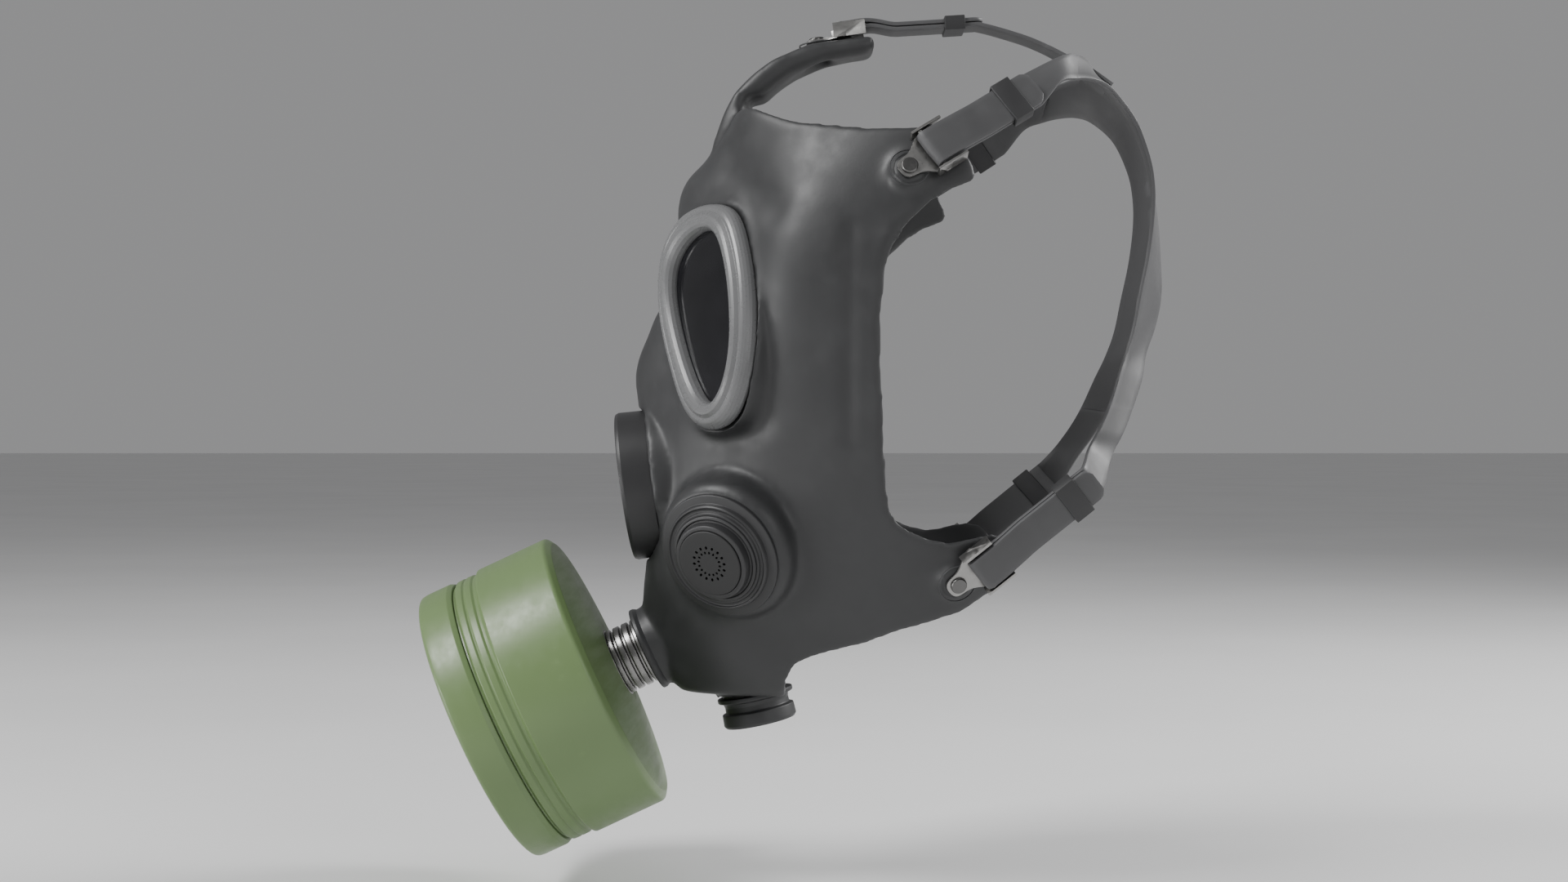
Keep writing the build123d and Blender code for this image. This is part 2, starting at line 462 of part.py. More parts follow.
# ---------------------------------------------------------------- buckles, strap ends, keepers, rivets
rivets, washers = [], []
half = STRAP_W / 2
for name, pl in buckles.items():
    lead = straps[name]
    plate = prism(pl, [(-4.2, 0), (-2.5, 3.6), (2, 4.4), (6, half - 0.4), (9, half + 1.6), (12, half + 1.9),
                       (13.2, half), (13.4, 0), (13.2, -half), (12, -half - 1.9), (9, -half - 1.6),
                       (6, 0.4 - half), (2, -4.4), (-2.5, -3.6)], 0.1, 1.0)
    plate -= disc(pl, RIVET_R + FIT, -1, 3)
    for w in (1, -1):
        arm = w * (half + 1.5)
        plate += block(pl, 6.5, 19.0, arm - 0.45, arm + 0.45, 0.15, BAR_Z + 1.9)
    bar = Plane(pl.location * Pos(BUCKLE_FOLD, 0, BAR_Z) * Rot(90, 0, 0))
    plate += bar.location * Cylinder(BAR_R, STRAP_W + 3)
    save(plate, "buckle_" + name)
    keep = KEEPER_AT[name]
    cut = keep + CUT_PAST_KEEPER
    end = block(lead, BUCKLE_FOLD, cut, -half, half, STRAP_LOW, STRAP_LOW + STRAP_T)
    side = [(BUCKLE_FOLD, FOLD_TOP - STRAP_T), (BUCKLE_FOLD, FOLD_TOP), (BUCKLE_FOLD + SETTLE, PAIR_TOP),
            (cut + 2.0, PAIR_TOP), (cut + 2.0, PAIR_TOP - STRAP_T),
            (BUCKLE_FOLD + SETTLE, PAIR_TOP - STRAP_T)]
    upright = Plane(lead.location * Rot(90, 0, 0))
    end += extrude(upright * make_face(Polyline(*side, close=True).edges()), amount=half, both=True)
    fold = bar.location * (Cylinder(BAR_GAP / 2 + STRAP_T, STRAP_W) - Cylinder(BAR_GAP / 2, STRAP_W + 2))
    fold -= block(lead, BUCKLE_FOLD, BUCKLE_FOLD + 9, -half - 1, half + 1, -2, FOLD_TOP + 2)
    save(end + fold, "strap_end_" + name)
    k0, k1 = keep - KEEPER_LEN / 2, keep + KEEPER_LEN / 2
    loop = block(lead, k0, k1, -half - 1.2, half + 1.2, STRAP_LOW - 1.0, PAIR_TOP + 1.0)
    loop -= block(lead, k0 - 1, k1 + 1, -half - FIT, half + FIT, STRAP_LOW - FIT, PAIR_TOP + FIT)
    save(loop, "keeper_" + name)
    rivets.append((disc(pl, RIVET_R, -TAB_T - 1.9, 1.5) + disc(pl, RIVET_HEAD_R, 1.1, 2.2)
                   + disc(pl, RIVET_HEAD_R - 0.5, -TAB_T - 2.3, -TAB_T - 1.4)).solids()[0])
    washers.append(tube(pl, RIVET_R + SEAT, 4.6, -TAB_T - 1.35, -TAB_T - 0.45).solids()[0])
save(Compound(children=rivets), "rivets")
save(Compound(children=washers), "rivet_washers")

# ---------------------------------------------------------------- head harness
# left half as stations (front edge, back edge), temple to cheek; the back edge meets the right half at X = 0
HALF = [
    ((69, 53.8, 105.7), (60.5, 53, 117)), ((62, 60.6, 109.5), (50.5, 62.5, 121)),
    ((55, 67.4, 111.8), (37, 69.5, 123.6)), ((48, 73.9, 112.7), (20, 76, 124)),
    ((40, 80.5, 111.9), (6, 80.5, 121.5)), ((33, 86.1, 108.4), (-0.4, 86.5, 116)),
    ((27, 93.5, 100), (-0.4, 94.5, 105.5)), ((24, 98.7, 87.7), (-0.4, 101, 91)),
    ((23, 100.7, 77.6), (-0.4, 104, 78)), ((22, 100.8, 66), (-0.4, 105.8, 66)),
    ((22, 99, 51), (-0.4, 107, 51)), ((22.5, 95.9, 36.2), (-0.4, 107.3, 36)),
    ((23.5, 93.2, 22.8), (3, 104.5, 24)), ((26, 90, 13.3), (12, 99.5, 13)),
    ((31, 86.4, 4.8), (20.5, 96.5, 2.5)), ((38, 81.7, -7.3), (29, 91.5, -9)),
    ((44, 77.1, -16.2), (36, 87, -18)), ((50, 72.2, -23.5), (43.5, 81.5, -27)),
]
TOP_STRAP = [
    ((-7, 52, 136.8), (7, 52, 136.8)), ((-7, 62, 132.8), (7, 62, 132.8)), ((-8, 70, 128.5), (8, 70, 128.5)),
    ((-12, 78, 123.2), (12, 78, 123.2)), ((-18, 86, 116), (18, 86, 116)),
]


def minus(a, b):
    return tuple(a[j] - b[j] for j in range(3))


def cross(a, b):
    return (a[1] * b[2] - a[2] * b[1], a[2] * b[0] - a[0] * b[2], a[0] * b[1] - a[1] * b[0])


def ribbon(rows):
    """Strap lofted through stations, each given by its two edges."""
    faces = []
    for i, (p, q) in enumerate(rows):
        a, b = rows[max(i - 1, 0)], rows[min(i + 1, len(rows) - 1)]
        t = tuple(b[0][j] + b[1][j] - a[0][j] - a[1][j] for j in range(3))
        n = unit(cross(minus(q, p), t))
        h = STRAP_T / 2
        corners = [along(p, n, h), along(q, n, h), along(q, n, -h), along(p, n, -h)]
        faces.append(make_face(Polyline(*corners, close=True).edges()))
    return loft(faces, ruled=True)


def strap_start(name, low):
    """The two edges where the harness takes over from a strap end, and the strap's direction."""
    lead = straps[name]
    o, x, y, n = tuple(lead.origin), tuple(lead.x_dir), tuple(lead.y_dir), tuple(lead.z_dir)
    p = along(along(o, x, KEEPER_AT[name] + CUT_PAST_KEEPER + CUT_GAP), n, STRAP_LOW + STRAP_T / 2)
    return along(p, y, -low * STRAP_W / 2), along(p, y, low * STRAP_W / 2), x


harness = None
for s in (1, -1):
    tag = "left" if s > 0 else "right"
    a0, a1, ax = strap_start(tag + "_temple", s)
    b0, b1, bx = strap_start(tag + "_cheek", -s)
    rows = [(a0, a1), (along(a0, ax, 1.5), along(a1, ax, 1.5))]
    rows += [(flip(p, s), flip(q, s)) for p, q in HALF]
    rows += [(along(b0, bx, 1.5), along(b1, bx, 1.5)), (b0, b1)]
    piece = ribbon(rows)
    harness = piece if harness is None else harness + piece
f0, f1, fx = strap_start("forehead", 1)
harness += ribbon([(f0, f1), (along(f0, fx, 1.5), along(f1, fx, 1.5))]
                  + ([(q, p) for p, q in TOP_STRAP] if f0[0] > f1[0] else TOP_STRAP))
save(sorted(harness.solids(), key=lambda q: q.volume)[-1], "head_harness")
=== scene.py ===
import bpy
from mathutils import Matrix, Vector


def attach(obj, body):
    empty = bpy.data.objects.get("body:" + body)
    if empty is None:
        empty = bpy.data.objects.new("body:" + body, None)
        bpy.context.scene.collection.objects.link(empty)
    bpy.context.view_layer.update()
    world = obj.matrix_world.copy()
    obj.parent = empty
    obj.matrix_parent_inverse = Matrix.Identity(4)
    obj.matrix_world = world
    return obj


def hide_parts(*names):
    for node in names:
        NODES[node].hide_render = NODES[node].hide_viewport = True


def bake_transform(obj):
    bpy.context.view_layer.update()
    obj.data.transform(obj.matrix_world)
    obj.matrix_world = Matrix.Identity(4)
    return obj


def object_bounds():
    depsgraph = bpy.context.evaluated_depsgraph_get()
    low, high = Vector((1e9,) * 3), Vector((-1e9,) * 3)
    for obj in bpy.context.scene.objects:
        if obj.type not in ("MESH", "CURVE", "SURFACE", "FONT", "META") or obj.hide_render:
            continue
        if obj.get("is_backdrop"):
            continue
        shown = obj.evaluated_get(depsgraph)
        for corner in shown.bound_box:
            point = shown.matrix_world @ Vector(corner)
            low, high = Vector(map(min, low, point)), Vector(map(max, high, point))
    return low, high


bl_info = {
    "name": "Full face respirator",
    "version": (1, 0, 0),
    "blender": (4, 5, 0),
    "location": "View3D > Sidebar > Respirator",
    "description": "Builds a rubber full face respirator with its filter, ports and harness",
    "category": "Object",
}

from math import cos, pi, radians, sin

import bmesh
import bpy
import numpy as np
from bpy.props import FloatProperty, FloatVectorProperty, IntProperty, PointerProperty
from mathutils import Vector

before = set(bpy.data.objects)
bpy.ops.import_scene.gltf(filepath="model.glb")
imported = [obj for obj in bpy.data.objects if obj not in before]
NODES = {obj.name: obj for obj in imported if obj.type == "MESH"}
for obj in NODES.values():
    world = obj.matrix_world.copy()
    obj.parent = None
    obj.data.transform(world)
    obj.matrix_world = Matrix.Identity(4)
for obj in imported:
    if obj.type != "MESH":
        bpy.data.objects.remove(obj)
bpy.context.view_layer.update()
MM = 0.001
SIDEWAYS = (1, 0, 0.001)       # where a turned piece starts round its axis

# Places of the ports, in millimetres: centre and outward direction.
FRONT = ((0.0, -102.1, -38.7), (0.0, -0.990, -0.139))
CHEEK = ((52.0, -63.7, -62.9), (0.80, -0.44, -0.34))
INLET = ((0.0, -108.5, -109.2), (0.0, -cos(radians(25)), -sin(radians(25))))
OUTLET = ((0.0, -52.0, -117.0), (0.0, 0.208, -0.978))
# Lens plane on the wearer's left: centre, normal, direction towards the temple.
LENS = ((40.0, -69.0, 25.5), (0.574, -0.807, 0.139), (0.815, 0.579, 0.0))
# Rivet frames: centre, normal, direction of the strap; then rivet to keeper.
BUCKLES = {
    "left_temple": ((76.0, 4.8, 77.0), (0.92, 0.03, 0.36), (0, 0.806, 0.592), 45.0),
    "right_temple": ((-76.0, 4.8, 77.0), (-0.92, 0.03, 0.36), (0, 0.806, 0.592), 45.0),
    "left_cheek": ((59.5, 23.3, -73.0), (0.88, 0.26, -0.38), (0, 0.766, 0.643), 52.0),
    "right_cheek": ((-59.5, 23.3, -73.0), (-0.88, 0.26, -0.38), (0, 0.766, 0.643), 52.0),
    "forehead": ((0, -27.0, 134.8), (0, -0.13, 0.99), (0, 0.99, 0.13), 54.0),
}


# ------------------------------------------------------------------ settings
class FaceSettings(bpy.types.PropertyGroup):
    voxel: FloatProperty(name="Grain size", description="Voxel size of the moulded rubber mesh",
                         default=0.0011, min=0.0008, unit="LENGTH")
    colour: FloatVectorProperty(name="Rubber", description="Colour of the face rubber", size=4,
                                default=(0.026, 0.0265, 0.0275, 1), subtype="COLOR", min=0, max=1)


class FilterSettings(bpy.types.PropertyGroup):
    colour: FloatVectorProperty(name="Paint", description="Colour of the filter's paint", size=4,
                                default=(0.135, 0.205, 0.082, 1), subtype="COLOR", min=0, max=1)
    steps: IntProperty(name="Steps", description="Segments round the drum", default=160, min=32)


class HarnessSettings(bpy.types.PropertyGroup):
    strap_width: FloatProperty(name="Strap width", description="Width of a strap",
                               default=0.014, unit="LENGTH")
    strap_thickness: FloatProperty(name="Strap thickness", description="Thickness of a strap",
                                   default=0.0016, unit="LENGTH")
    colour: FloatVectorProperty(name="Strap rubber", description="Colour of the straps", size=4,
                                default=(0.060, 0.060, 0.062, 1), subtype="COLOR", min=0, max=1)


# ------------------------------------------------------------------ small geometry
def unit(v):
    v = np.asarray(v, float)
    return v / np.linalg.norm(v)


def axes(normal, toward):
    """Right-handed triple (x near toward, y, z = normal)."""
    z = unit(normal)
    x = np.asarray(toward, float)
    x = unit(x - z * (x @ z))
    return np.array([x, np.cross(z, x), z])


def unit_rows(rows):
    return rows / np.linalg.norm(rows, axis=1)[:, None]


def mirrored(v, side):
    return (v[0] * side, v[1], v[2])


def mesh_object(name, verts, faces):
    """Smooth shaded object from vertices in millimetres."""
    mesh = bpy.data.meshes.new(name)
    points = [tuple(np.asarray(v, float) * MM) for v in verts]
    mesh.from_pydata(points, [], [tuple(f) for f in faces])
    mesh.validate()
    obj = bpy.data.objects.new(name, mesh)
    bpy.context.scene.collection.objects.link(obj)
    fix_normals(obj)
    mesh.shade_smooth()
    return obj


def fix_normals(obj):
    bm = bmesh.new()
    bm.from_mesh(obj.data)
    bmesh.ops.recalc_face_normals(bm, faces=bm.faces)
    bm.to_mesh(obj.data)
    bm.free()


def join_parts(name, parts):
    """One object from several (verts, faces) shells."""
    verts, faces = [], []
    for vs, fs in parts:
        base = len(verts)
        verts.extend(vs)
        faces.extend([tuple(i + base for i in f) for f in fs])
    return mesh_object(name, verts, faces)


def filleted(points, closed):
    """Outline with its marked corners rounded: a point is (r, h) or (r, h, fillet radius)."""
    out = []
    n = len(points)
    for i, p in enumerate(points):
        fillet = p[2] if len(p) > 2 else 0.0
        here = np.array(p[:2], float)
        if fillet <= 0 or (not closed and i in (0, n - 1)):
            out.append(here)
            continue
        before, after = np.array(points[i - 1][:2], float), np.array(points[(i + 1) % n][:2], float)
        u, w = before - here, after - here
        lu, lw = np.linalg.norm(u), np.linalg.norm(w)
        u, w = u / lu, w / lw
        half = np.arccos(np.clip(u @ w, -1, 1)) / 2
        if half > 1.5:
            out.append(here)
            continue
        cut = min(fillet / np.tan(half), 0.48 * lu, 0.48 * lw)
        a, b = here + u * cut, here + w * cut
        for t in np.linspace(0, 1, 6):
            out.append((1 - t) ** 2 * a + 2 * t * (1 - t) * here + t * t * b)
    return out


def lathe_shell(place, toward, outline, steps=96, closed=True):
    """Shell turned about a port's axis; outline in (radius, height) millimetres."""
    centre, normal = place
    x, y, z = axes(normal, toward)
    rows = filleted(outline, closed)
    verts, faces = [], []
    for i in range(steps):
        a = 2 * pi * i / steps
        radial = x * cos(a) + y * sin(a)
        for r, h in rows:
            verts.append(np.array(centre) + radial * r + z * h)
    n = len(rows)
    last = n if closed else n - 1
    for i in range(steps):
        j = (i + 1) % steps
        for k in range(last):
            m = (k + 1) % n
            if rows[k][0] < 1e-6 and rows[m][0] < 1e-6:
                continue
            faces.append((i * n + k, j * n + k, j * n + m, i * n + m))
    return merged(verts, faces)


def merged(verts, faces, gap=1e-4):
    """Same shell with coincident vertices welded and collapsed faces dropped."""
    verts = np.array(verts)
    keys = np.round(verts / gap).astype(np.int64)
    _, first, back = np.unique(keys, axis=0, return_index=True, return_inverse=True)
    back = back.reshape(-1)
    clean = []
    for f in faces:
        g = []
        for i in f:
            if back[i] not in g:
                g.append(int(back[i]))
        if len(g) > 2:
            clean.append(tuple(g))
    return [verts[i] for i in first], clean


def lathe(name, place, outline, steps=96, toward=SIDEWAYS):
    verts, faces = lathe_shell(place, toward, outline, steps)
    return mesh_object(name, verts, faces)


def spline_point(p0, p1, p2, p3, t):
    """Catmull-Rom point between p1 and p2."""
    return 0.5 * (2 * p1 + (p2 - p0) * t + (2 * p0 - 5 * p1 + 4 * p2 - p3) * t ** 2
                  + (3 * p1 - p0 - 3 * p2 + p3) * t ** 3)


def smooth_path(points, per=6):
    """Catmull-Rom curve through rows of numbers, per steps between each pair."""
    pts = np.array(points, float)
    ext = np.vstack([2 * pts[0] - pts[1], pts, 2 * pts[-1] - pts[-2]])
    out = []
    for i in range(1, len(ext) - 2):
        p0, p1, p2, p3 = ext[i - 1:i + 3]
        for t in np.arange(per) / per:
            out.append(spline_point(p0, p1, p2, p3, t))
    out.append(pts[-1])
    return np.array(out)


def ribbon_shell(stations, thickness, edge=0.45, bow=0.0, across=6):
    """Closed strap with rounded edges through stations of (edge point, other edge point)."""
    st = np.array(stations, float)
    a, b = st[:, :3], st[:, 3:]
    mid = (a + b) / 2
    tang = np.gradient(mid, axis=0)
    tang /= np.linalg.norm(tang, axis=1)[:, None]
    wide = b - a
    width = np.linalg.norm(wide, axis=1)
    wide /= width[:, None]
    norm = np.cross(wide, tang)
    norm /= np.linalg.norm(norm, axis=1)[:, None]
    h = thickness / 2
    ring = []
    for i in range(across + 1):
        ring.append((-1 + 2 * i / across, 1))
    for i in range(across + 1):
        ring.append((1 - 2 * i / across, -1))
    verts, faces = [], []
    for k in range(len(st)):
        w = width[k] / 2
        e = min(edge, w * 0.5)
        row = []
        for s, side in ring:
            x = s * (w - e)
            rise = bow * (1 - s * s)
            row.append((x, side * h + rise))
        side_x, side_y = w - e * 0.3, h - e * 0.3
        outline = [(-side_x, side_y)] + row[:across + 1] + [(side_x, side_y), (w, 0)]
        outline += [(side_x, -side_y)] + row[across + 1:] + [(-side_x, -side_y), (-w, 0)]
        for x, y in outline:
            verts.append(mid[k] + wide[k] * x + norm[k] * y)
    n = len(outline)
    for k in range(len(st) - 1):
        for i in range(n):
            j = (i + 1) % n
            faces.append((k * n + i, k * n + j, (k + 1) * n + j, (k + 1) * n + i))
    faces.append(tuple(range(n))[::-1])
    faces.append(tuple(range((len(st) - 1) * n, len(st) * n)))
    return verts, faces


def closed_curve(points, count):
    """Evenly spaced smooth loop through 2D points."""
    pts = np.array(points, float)
    n = len(pts)
    fine = []
    for i in range(n):
        p0, p1, p2, p3 = pts[i - 1], pts[i], pts[(i + 1) % n], pts[(i + 2) % n]
        for t in np.arange(20) / 20:
            fine.append(spline_point(p0, p1, p2, p3, t))
    fine = np.array(fine)
    step = np.linalg.norm(np.roll(fine, -1, axis=0) - fine, axis=1)
    s = np.concatenate([[0], np.cumsum(step)])
    loop = np.vstack([fine, fine[:1]])
    want = np.linspace(0, s[-1], count, endpoint=False)
    return np.stack([np.interp(want, s, loop[:, k]) for k in range(2)], axis=1)


def relax(loop, rounds):
    for _ in range(rounds):
        loop = loop * 0.5 + 0.25 * (np.roll(loop, 1, axis=0) + np.roll(loop, -1, axis=0))
    return loop


def boolean_union(base, others):
    for other in others:
        mod = base.modifiers.new("join", "BOOLEAN")
        mod.operation, mod.solver, mod.object = "UNION", "EXACT", other
    apply_modifiers(base)
    for other in others:
        bpy.data.objects.remove(other)
    return base


def join_objects(base, others):
    """Add the meshes of other objects to base; the others are removed."""
    bm = bmesh.new()
    bm.from_mesh(base.data)
    for other in others:
        bm.from_mesh(other.data)
        bpy.data.objects.remove(other)
    bm.to_mesh(base.data)
    bm.free()
    base.data.shade_smooth()


def rounded_copy(name, node, width, degrees=35):
    """Copy of a CAD node's mesh with its sharp edges rounded."""
    mesh = NODES[node].data.copy()
    obj = bpy.data.objects.new(name, mesh)
    bpy.context.scene.collection.objects.link(obj)
    mesh.materials.clear()
    bm = bmesh.new()
    bm.from_mesh(mesh)
    bmesh.ops.remove_doubles(bm, verts=bm.verts, dist=2e-6)
    bmesh.ops.dissolve_limit(bm, angle_limit=radians(1.5), verts=bm.verts, edges=bm.edges)
    bm.to_mesh(mesh)
    bm.free()
    mod = obj.modifiers.new("edges", "BEVEL")
    mod.width, mod.segments, mod.limit_method = width * MM, 3, "ANGLE"
    mod.angle_limit, mod.use_clamp_overlap = radians(degrees), True
    apply_modifiers(obj)
    sharp_by_angle(obj, 50)
    return obj


def apply_modifiers(obj):
    dg = bpy.context.evaluated_depsgraph_get()
    dg.update()
    mesh = bpy.data.meshes.new_from_object(obj.evaluated_get(dg))
    old = obj.data
    obj.modifiers.clear()
    obj.data = mesh
    bpy.data.meshes.remove(old)


def sharp_by_angle(obj, degrees=38):
    obj.data.shade_smooth()
    obj.data.set_sharp_from_angle(angle=radians(degrees))


# ------------------------------------------------------------------ materials
def new_material(name):
    mat = bpy.data.materials.new(name)
    mat.use_nodes = True
    nodes, links = mat.node_tree.nodes, mat.node_tree.links
    return mat, nodes, links, nodes["Principled BSDF"]


def add(nodes, kind, **values):
    node = nodes.new(kind)
    for key, value in values.items():
        if key in node.inputs:
            node.inputs[key].default_value = value
        else:
            setattr(node, key, value)
    return node


def object_noise(nodes, links, scale, detail=3.0, rough=0.55):
    coord = add(nodes, "ShaderNodeTexCoord")
    tex = add(nodes, "ShaderNodeTexNoise", Scale=scale, Detail=detail, Roughness=rough)
    links.new(coord.outputs["Object"], tex.inputs["Vector"])
    return tex.outputs["Fac"]


def span(nodes, links, fac, low, high, start=0.3, end=0.7):
    node = add(nodes, "ShaderNodeMapRange")
    links.new(fac, node.inputs["Value"])
    for key, value in (("From Min", start), ("From Max", end), ("To Min", low), ("To Max", high)):
        node.inputs[key].default_value = value
    return node.outputs["Result"]


def tint(nodes, links, fac, dark, light):
    ramp = add(nodes, "ShaderNodeValToRGB")
    ramp.color_ramp.elements[0].position, ramp.color_ramp.elements[1].position = 0.3, 0.72
    ramp.color_ramp.elements[0].color, ramp.color_ramp.elements[1].color = dark, light
    links.new(fac, ramp.inputs["Fac"])
    return ramp.outputs["Color"]


def overlaid(nodes, links, factor, base, over):
    """Base colour with a plain colour laid over it where the factor is high."""
    node = add(nodes, "ShaderNodeMix", data_type="RGBA", blend_type="MIX")
    links.new(factor, node.inputs["Factor"])
    links.new(base, node.inputs["A"])
    node.inputs["B"].default_value = over
    return node.outputs["Result"]


def streaks(nodes, links, scale, detail):
    """Noise drawn out along the object's X axis."""
    coord = add(nodes, "ShaderNodeTexCoord")
    stretch = add(nodes, "ShaderNodeMapping")
    stretch.inputs["Scale"].default_value = scale
    links.new(coord.outputs["Object"], stretch.inputs["Vector"])
    tex = add(nodes, "ShaderNodeTexNoise", Scale=1.0, Detail=detail, Roughness=0.6)
    links.new(stretch.outputs["Vector"], tex.inputs["Vector"])
    return tex.outputs["Fac"]


def shade(colour, k):
    return tuple(min(1.0, c * k) for c in colour[:3]) + (1.0,)


def bump(nodes, links, bsdf, layers):
    """Chain of bumps, each (height socket, strength, distance)."""
    last = None
    for height, strength, distance in layers:
        node = add(nodes, "ShaderNodeBump", Strength=strength, Distance=distance)
        links.new(height, node.inputs["Height"])
        if last:
            links.new(last, node.inputs["Normal"])
        last = node.outputs["Normal"]
    links.new(last, bsdf.inputs["Normal"])


def moulded_rubber(name, colour, rough=(0.42, 0.56), grain=900, bloom=0.35):
    """Rubber with a fine moulded grain, dusty patches, and sharp edges painted lighter as rubbed wear plus a
    painted rim highlight.
    """
    mat, nodes, links, bsdf = new_material(name)
    cloud = object_noise(nodes, links, 14, 4)
    fine = object_noise(nodes, links, grain, 2)
    spots = object_noise(nodes, links, 90, 5)
    base = tint(nodes, links, cloud, shade(colour, 0.86), shade(colour, 1.16))
    mask = span(nodes, links, spots, 0, bloom, 0.52, 0.75)
    dusty = overlaid(nodes, links, mask, base, shade(colour, 1.55))
    # sharp edges painted lighter: partly rubbed wear, partly a painted rim highlight
    geo = add(nodes, "ShaderNodeNewGeometry")
    edge = span(nodes, links, geo.outputs["Pointiness"], 0, 0.55, 0.515, 0.60)
    rubbed_and_highlit = overlaid(nodes, links, edge, dusty, shade(colour, 1.9))
    links.new(rubbed_and_highlit, bsdf.inputs["Base Color"])
    links.new(span(nodes, links, spots, rough[0], rough[1], 0.3, 0.7), bsdf.inputs["Roughness"])
    bsdf.inputs["Specular IOR Level"].default_value = 0.5
    bump(nodes, links, bsdf, [(fine, 0.10, 0.0002), (cloud, 0.12, 0.0006)])
    return mat


def satin_paint(name, colour, rough=(0.32, 0.44), chip=0.25, wave=0.08, peel_depth=0.05):
    """Sprayed paint with orange peel, faint blotches and scuffs."""
    mat, nodes, links, bsdf = new_material(name)
    cloud = object_noise(nodes, links, 9, 4)
    peel = object_noise(nodes, links, 420, 2)
    scuff = streaks(nodes, links, (30, 260, 260), 5.0)
    base = tint(nodes, links, cloud, shade(colour, 0.93), shade(colour, 1.08))
    mask = span(nodes, links, scuff, 0, chip, 0.62, 0.78)
    links.new(overlaid(nodes, links, mask, base, shade(colour, 1.4)), bsdf.inputs["Base Color"])
    gloss = span(nodes, links, scuff, rough[0], rough[1], 0.35, 0.7)
    links.new(gloss, bsdf.inputs["Roughness"])
    bump(nodes, links, bsdf, [(peel, peel_depth, 0.0002), (cloud, wave, 0.0006)])
    return mat


def brushed_metal(name, colour, rough=(0.24, 0.42), scratch=(8, 700, 700), tarnish=0.5, depth=0.15):
    """Bare metal with fine directional marks and dull patches."""
    mat, nodes, links, bsdf = new_material(name)
    marks = streaks(nodes, links, scratch, 4.0)
    dull = object_noise(nodes, links, 60, 4)
    base = tint(nodes, links, dull, shade(colour, 1 - tarnish * 0.5), colour)
    links.new(base, bsdf.inputs["Base Color"])
    bsdf.inputs["Metallic"].default_value = 1.0
    gloss = span(nodes, links, marks, rough[0], rough[1], 0.3, 0.7)
    links.new(gloss, bsdf.inputs["Roughness"])
    bump(nodes, links, bsdf, [(marks, depth, 0.0001)])
    return mat


def dull_plastic(name, colour, rough=(0.42, 0.55)):
    mat, nodes, links, bsdf = new_material(name)
    grain = object_noise(nodes, links, 1100, 2)
    cloud = object_noise(nodes, links, 25, 3)
    base = tint(nodes, links, cloud, shade(colour, 0.85), shade(colour, 1.15))
    links.new(base, bsdf.inputs["Base Color"])
    links.new(span(nodes, links, cloud, rough[0], rough[1]), bsdf.inputs["Roughness"])
    bump(nodes, links, bsdf, [(grain, 0.12, 0.0001)])
    return mat


def smoked_glass(name):
    mat, nodes, links, bsdf = new_material(name)
    smear = object_noise(nodes, links, 40, 5)
    links.new(tint(nodes, links, smear, (0.004, 0.004, 0.005, 1), (0.010, 0.010, 0.012, 1)),
              bsdf.inputs["Base Color"])
    links.new(span(nodes, links, smear, 0.04, 0.11, 0.4, 0.75), bsdf.inputs["Roughness"])
    bsdf.inputs["IOR"].default_value = 1.5
    bsdf.inputs["Alpha"].default_value = 0.93
    bump(nodes, links, bsdf, [(smear, 0.02, 0.0002)])
    return mat


def grainy(name, dark, light, scale, rough=0.8, depth=0.6):
    mat, nodes, links, bsdf = new_material(name)
    grain = object_noise(nodes, links, scale, 3)
    links.new(tint(nodes, links, grain, dark, light), bsdf.inputs["Base Color"])
    links.new(span(nodes, links, grain, rough - 0.1, rough + 0.1), bsdf.inputs["Roughness"])
    bump(nodes, links, bsdf, [(grain, depth, 0.0006)])
    return mat


MATERIALS = {}


def make_materials(scene):
    rubber = tuple(scene.respirator_face.colour)
    strap = tuple(scene.respirator_harness.colour)
    paint = tuple(scene.respirator_filter.colour)
    MATERIALS.update({
        "face_rubber": moulded_rubber("Face rubber", rubber),
        "strap_rubber": moulded_rubber("Strap rubber", strap, rough=(0.48, 0.60), grain=1400, bloom=0.2),
        "keeper_rubber": moulded_rubber("Keeper rubber", (0.020, 0.020, 0.021, 1), rough=(0.46, 0.58)),
        "valve_rubber": moulded_rubber("Valve rubber", (0.09, 0.085, 0.08, 1), rough=(0.35, 0.5)),
        "rim": satin_paint("Rim finish", (0.13, 0.131, 0.133, 1), rough=(0.26, 0.31), chip=0.0,
                           wave=0.0, peel_depth=0.004),
        "port": dull_plastic("Port plastic", (0.022, 0.022, 0.023, 1), rough=(0.38, 0.48)),
        "port_disc": dull_plastic("Port disc plastic", (0.013, 0.013, 0.0135, 1), rough=(0.48, 0.6)),
        "glass": smoked_glass("Smoked glass"),
        "thread": brushed_metal("Turned steel", (0.30, 0.295, 0.29, 1), rough=(0.24, 0.32), depth=0.03),
        "buckle": brushed_metal("Plated buckle", (0.36, 0.355, 0.345, 1), rough=(0.26, 0.40), tarnish=0.35),
        "rivet": brushed_metal("Rivet", (0.16, 0.158, 0.155, 1), rough=(0.30, 0.42), tarnish=0.4),
        "paint": satin_paint("Filter paint", paint),
        "screen": brushed_metal("Screen sheet", (0.62, 0.62, 0.62, 1), rough=(0.3, 0.5)),
        "carbon": grainy("Carbon", (0.01, 0.01, 0.01, 1), (0.05, 0.05, 0.05, 1), 900),
        "paper": grainy("Filter paper", (0.72, 0.70, 0.62, 1), (0.86, 0.84, 0.77, 1), 700, 0.85, 0.3),
        "film": dull_plastic("Diaphragm film", (0.62, 0.52, 0.30, 1), rough=(0.25, 0.35)),
    })


def dress(obj, material, body, *replaced):
    """Give a piece its material, body and the CAD nodes it stands for."""
    obj.data.materials.clear()
    obj.data.materials.append(MATERIALS[material])
    if replaced:
        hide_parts(*replaced)
    if body:
        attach(obj, body)
    return obj


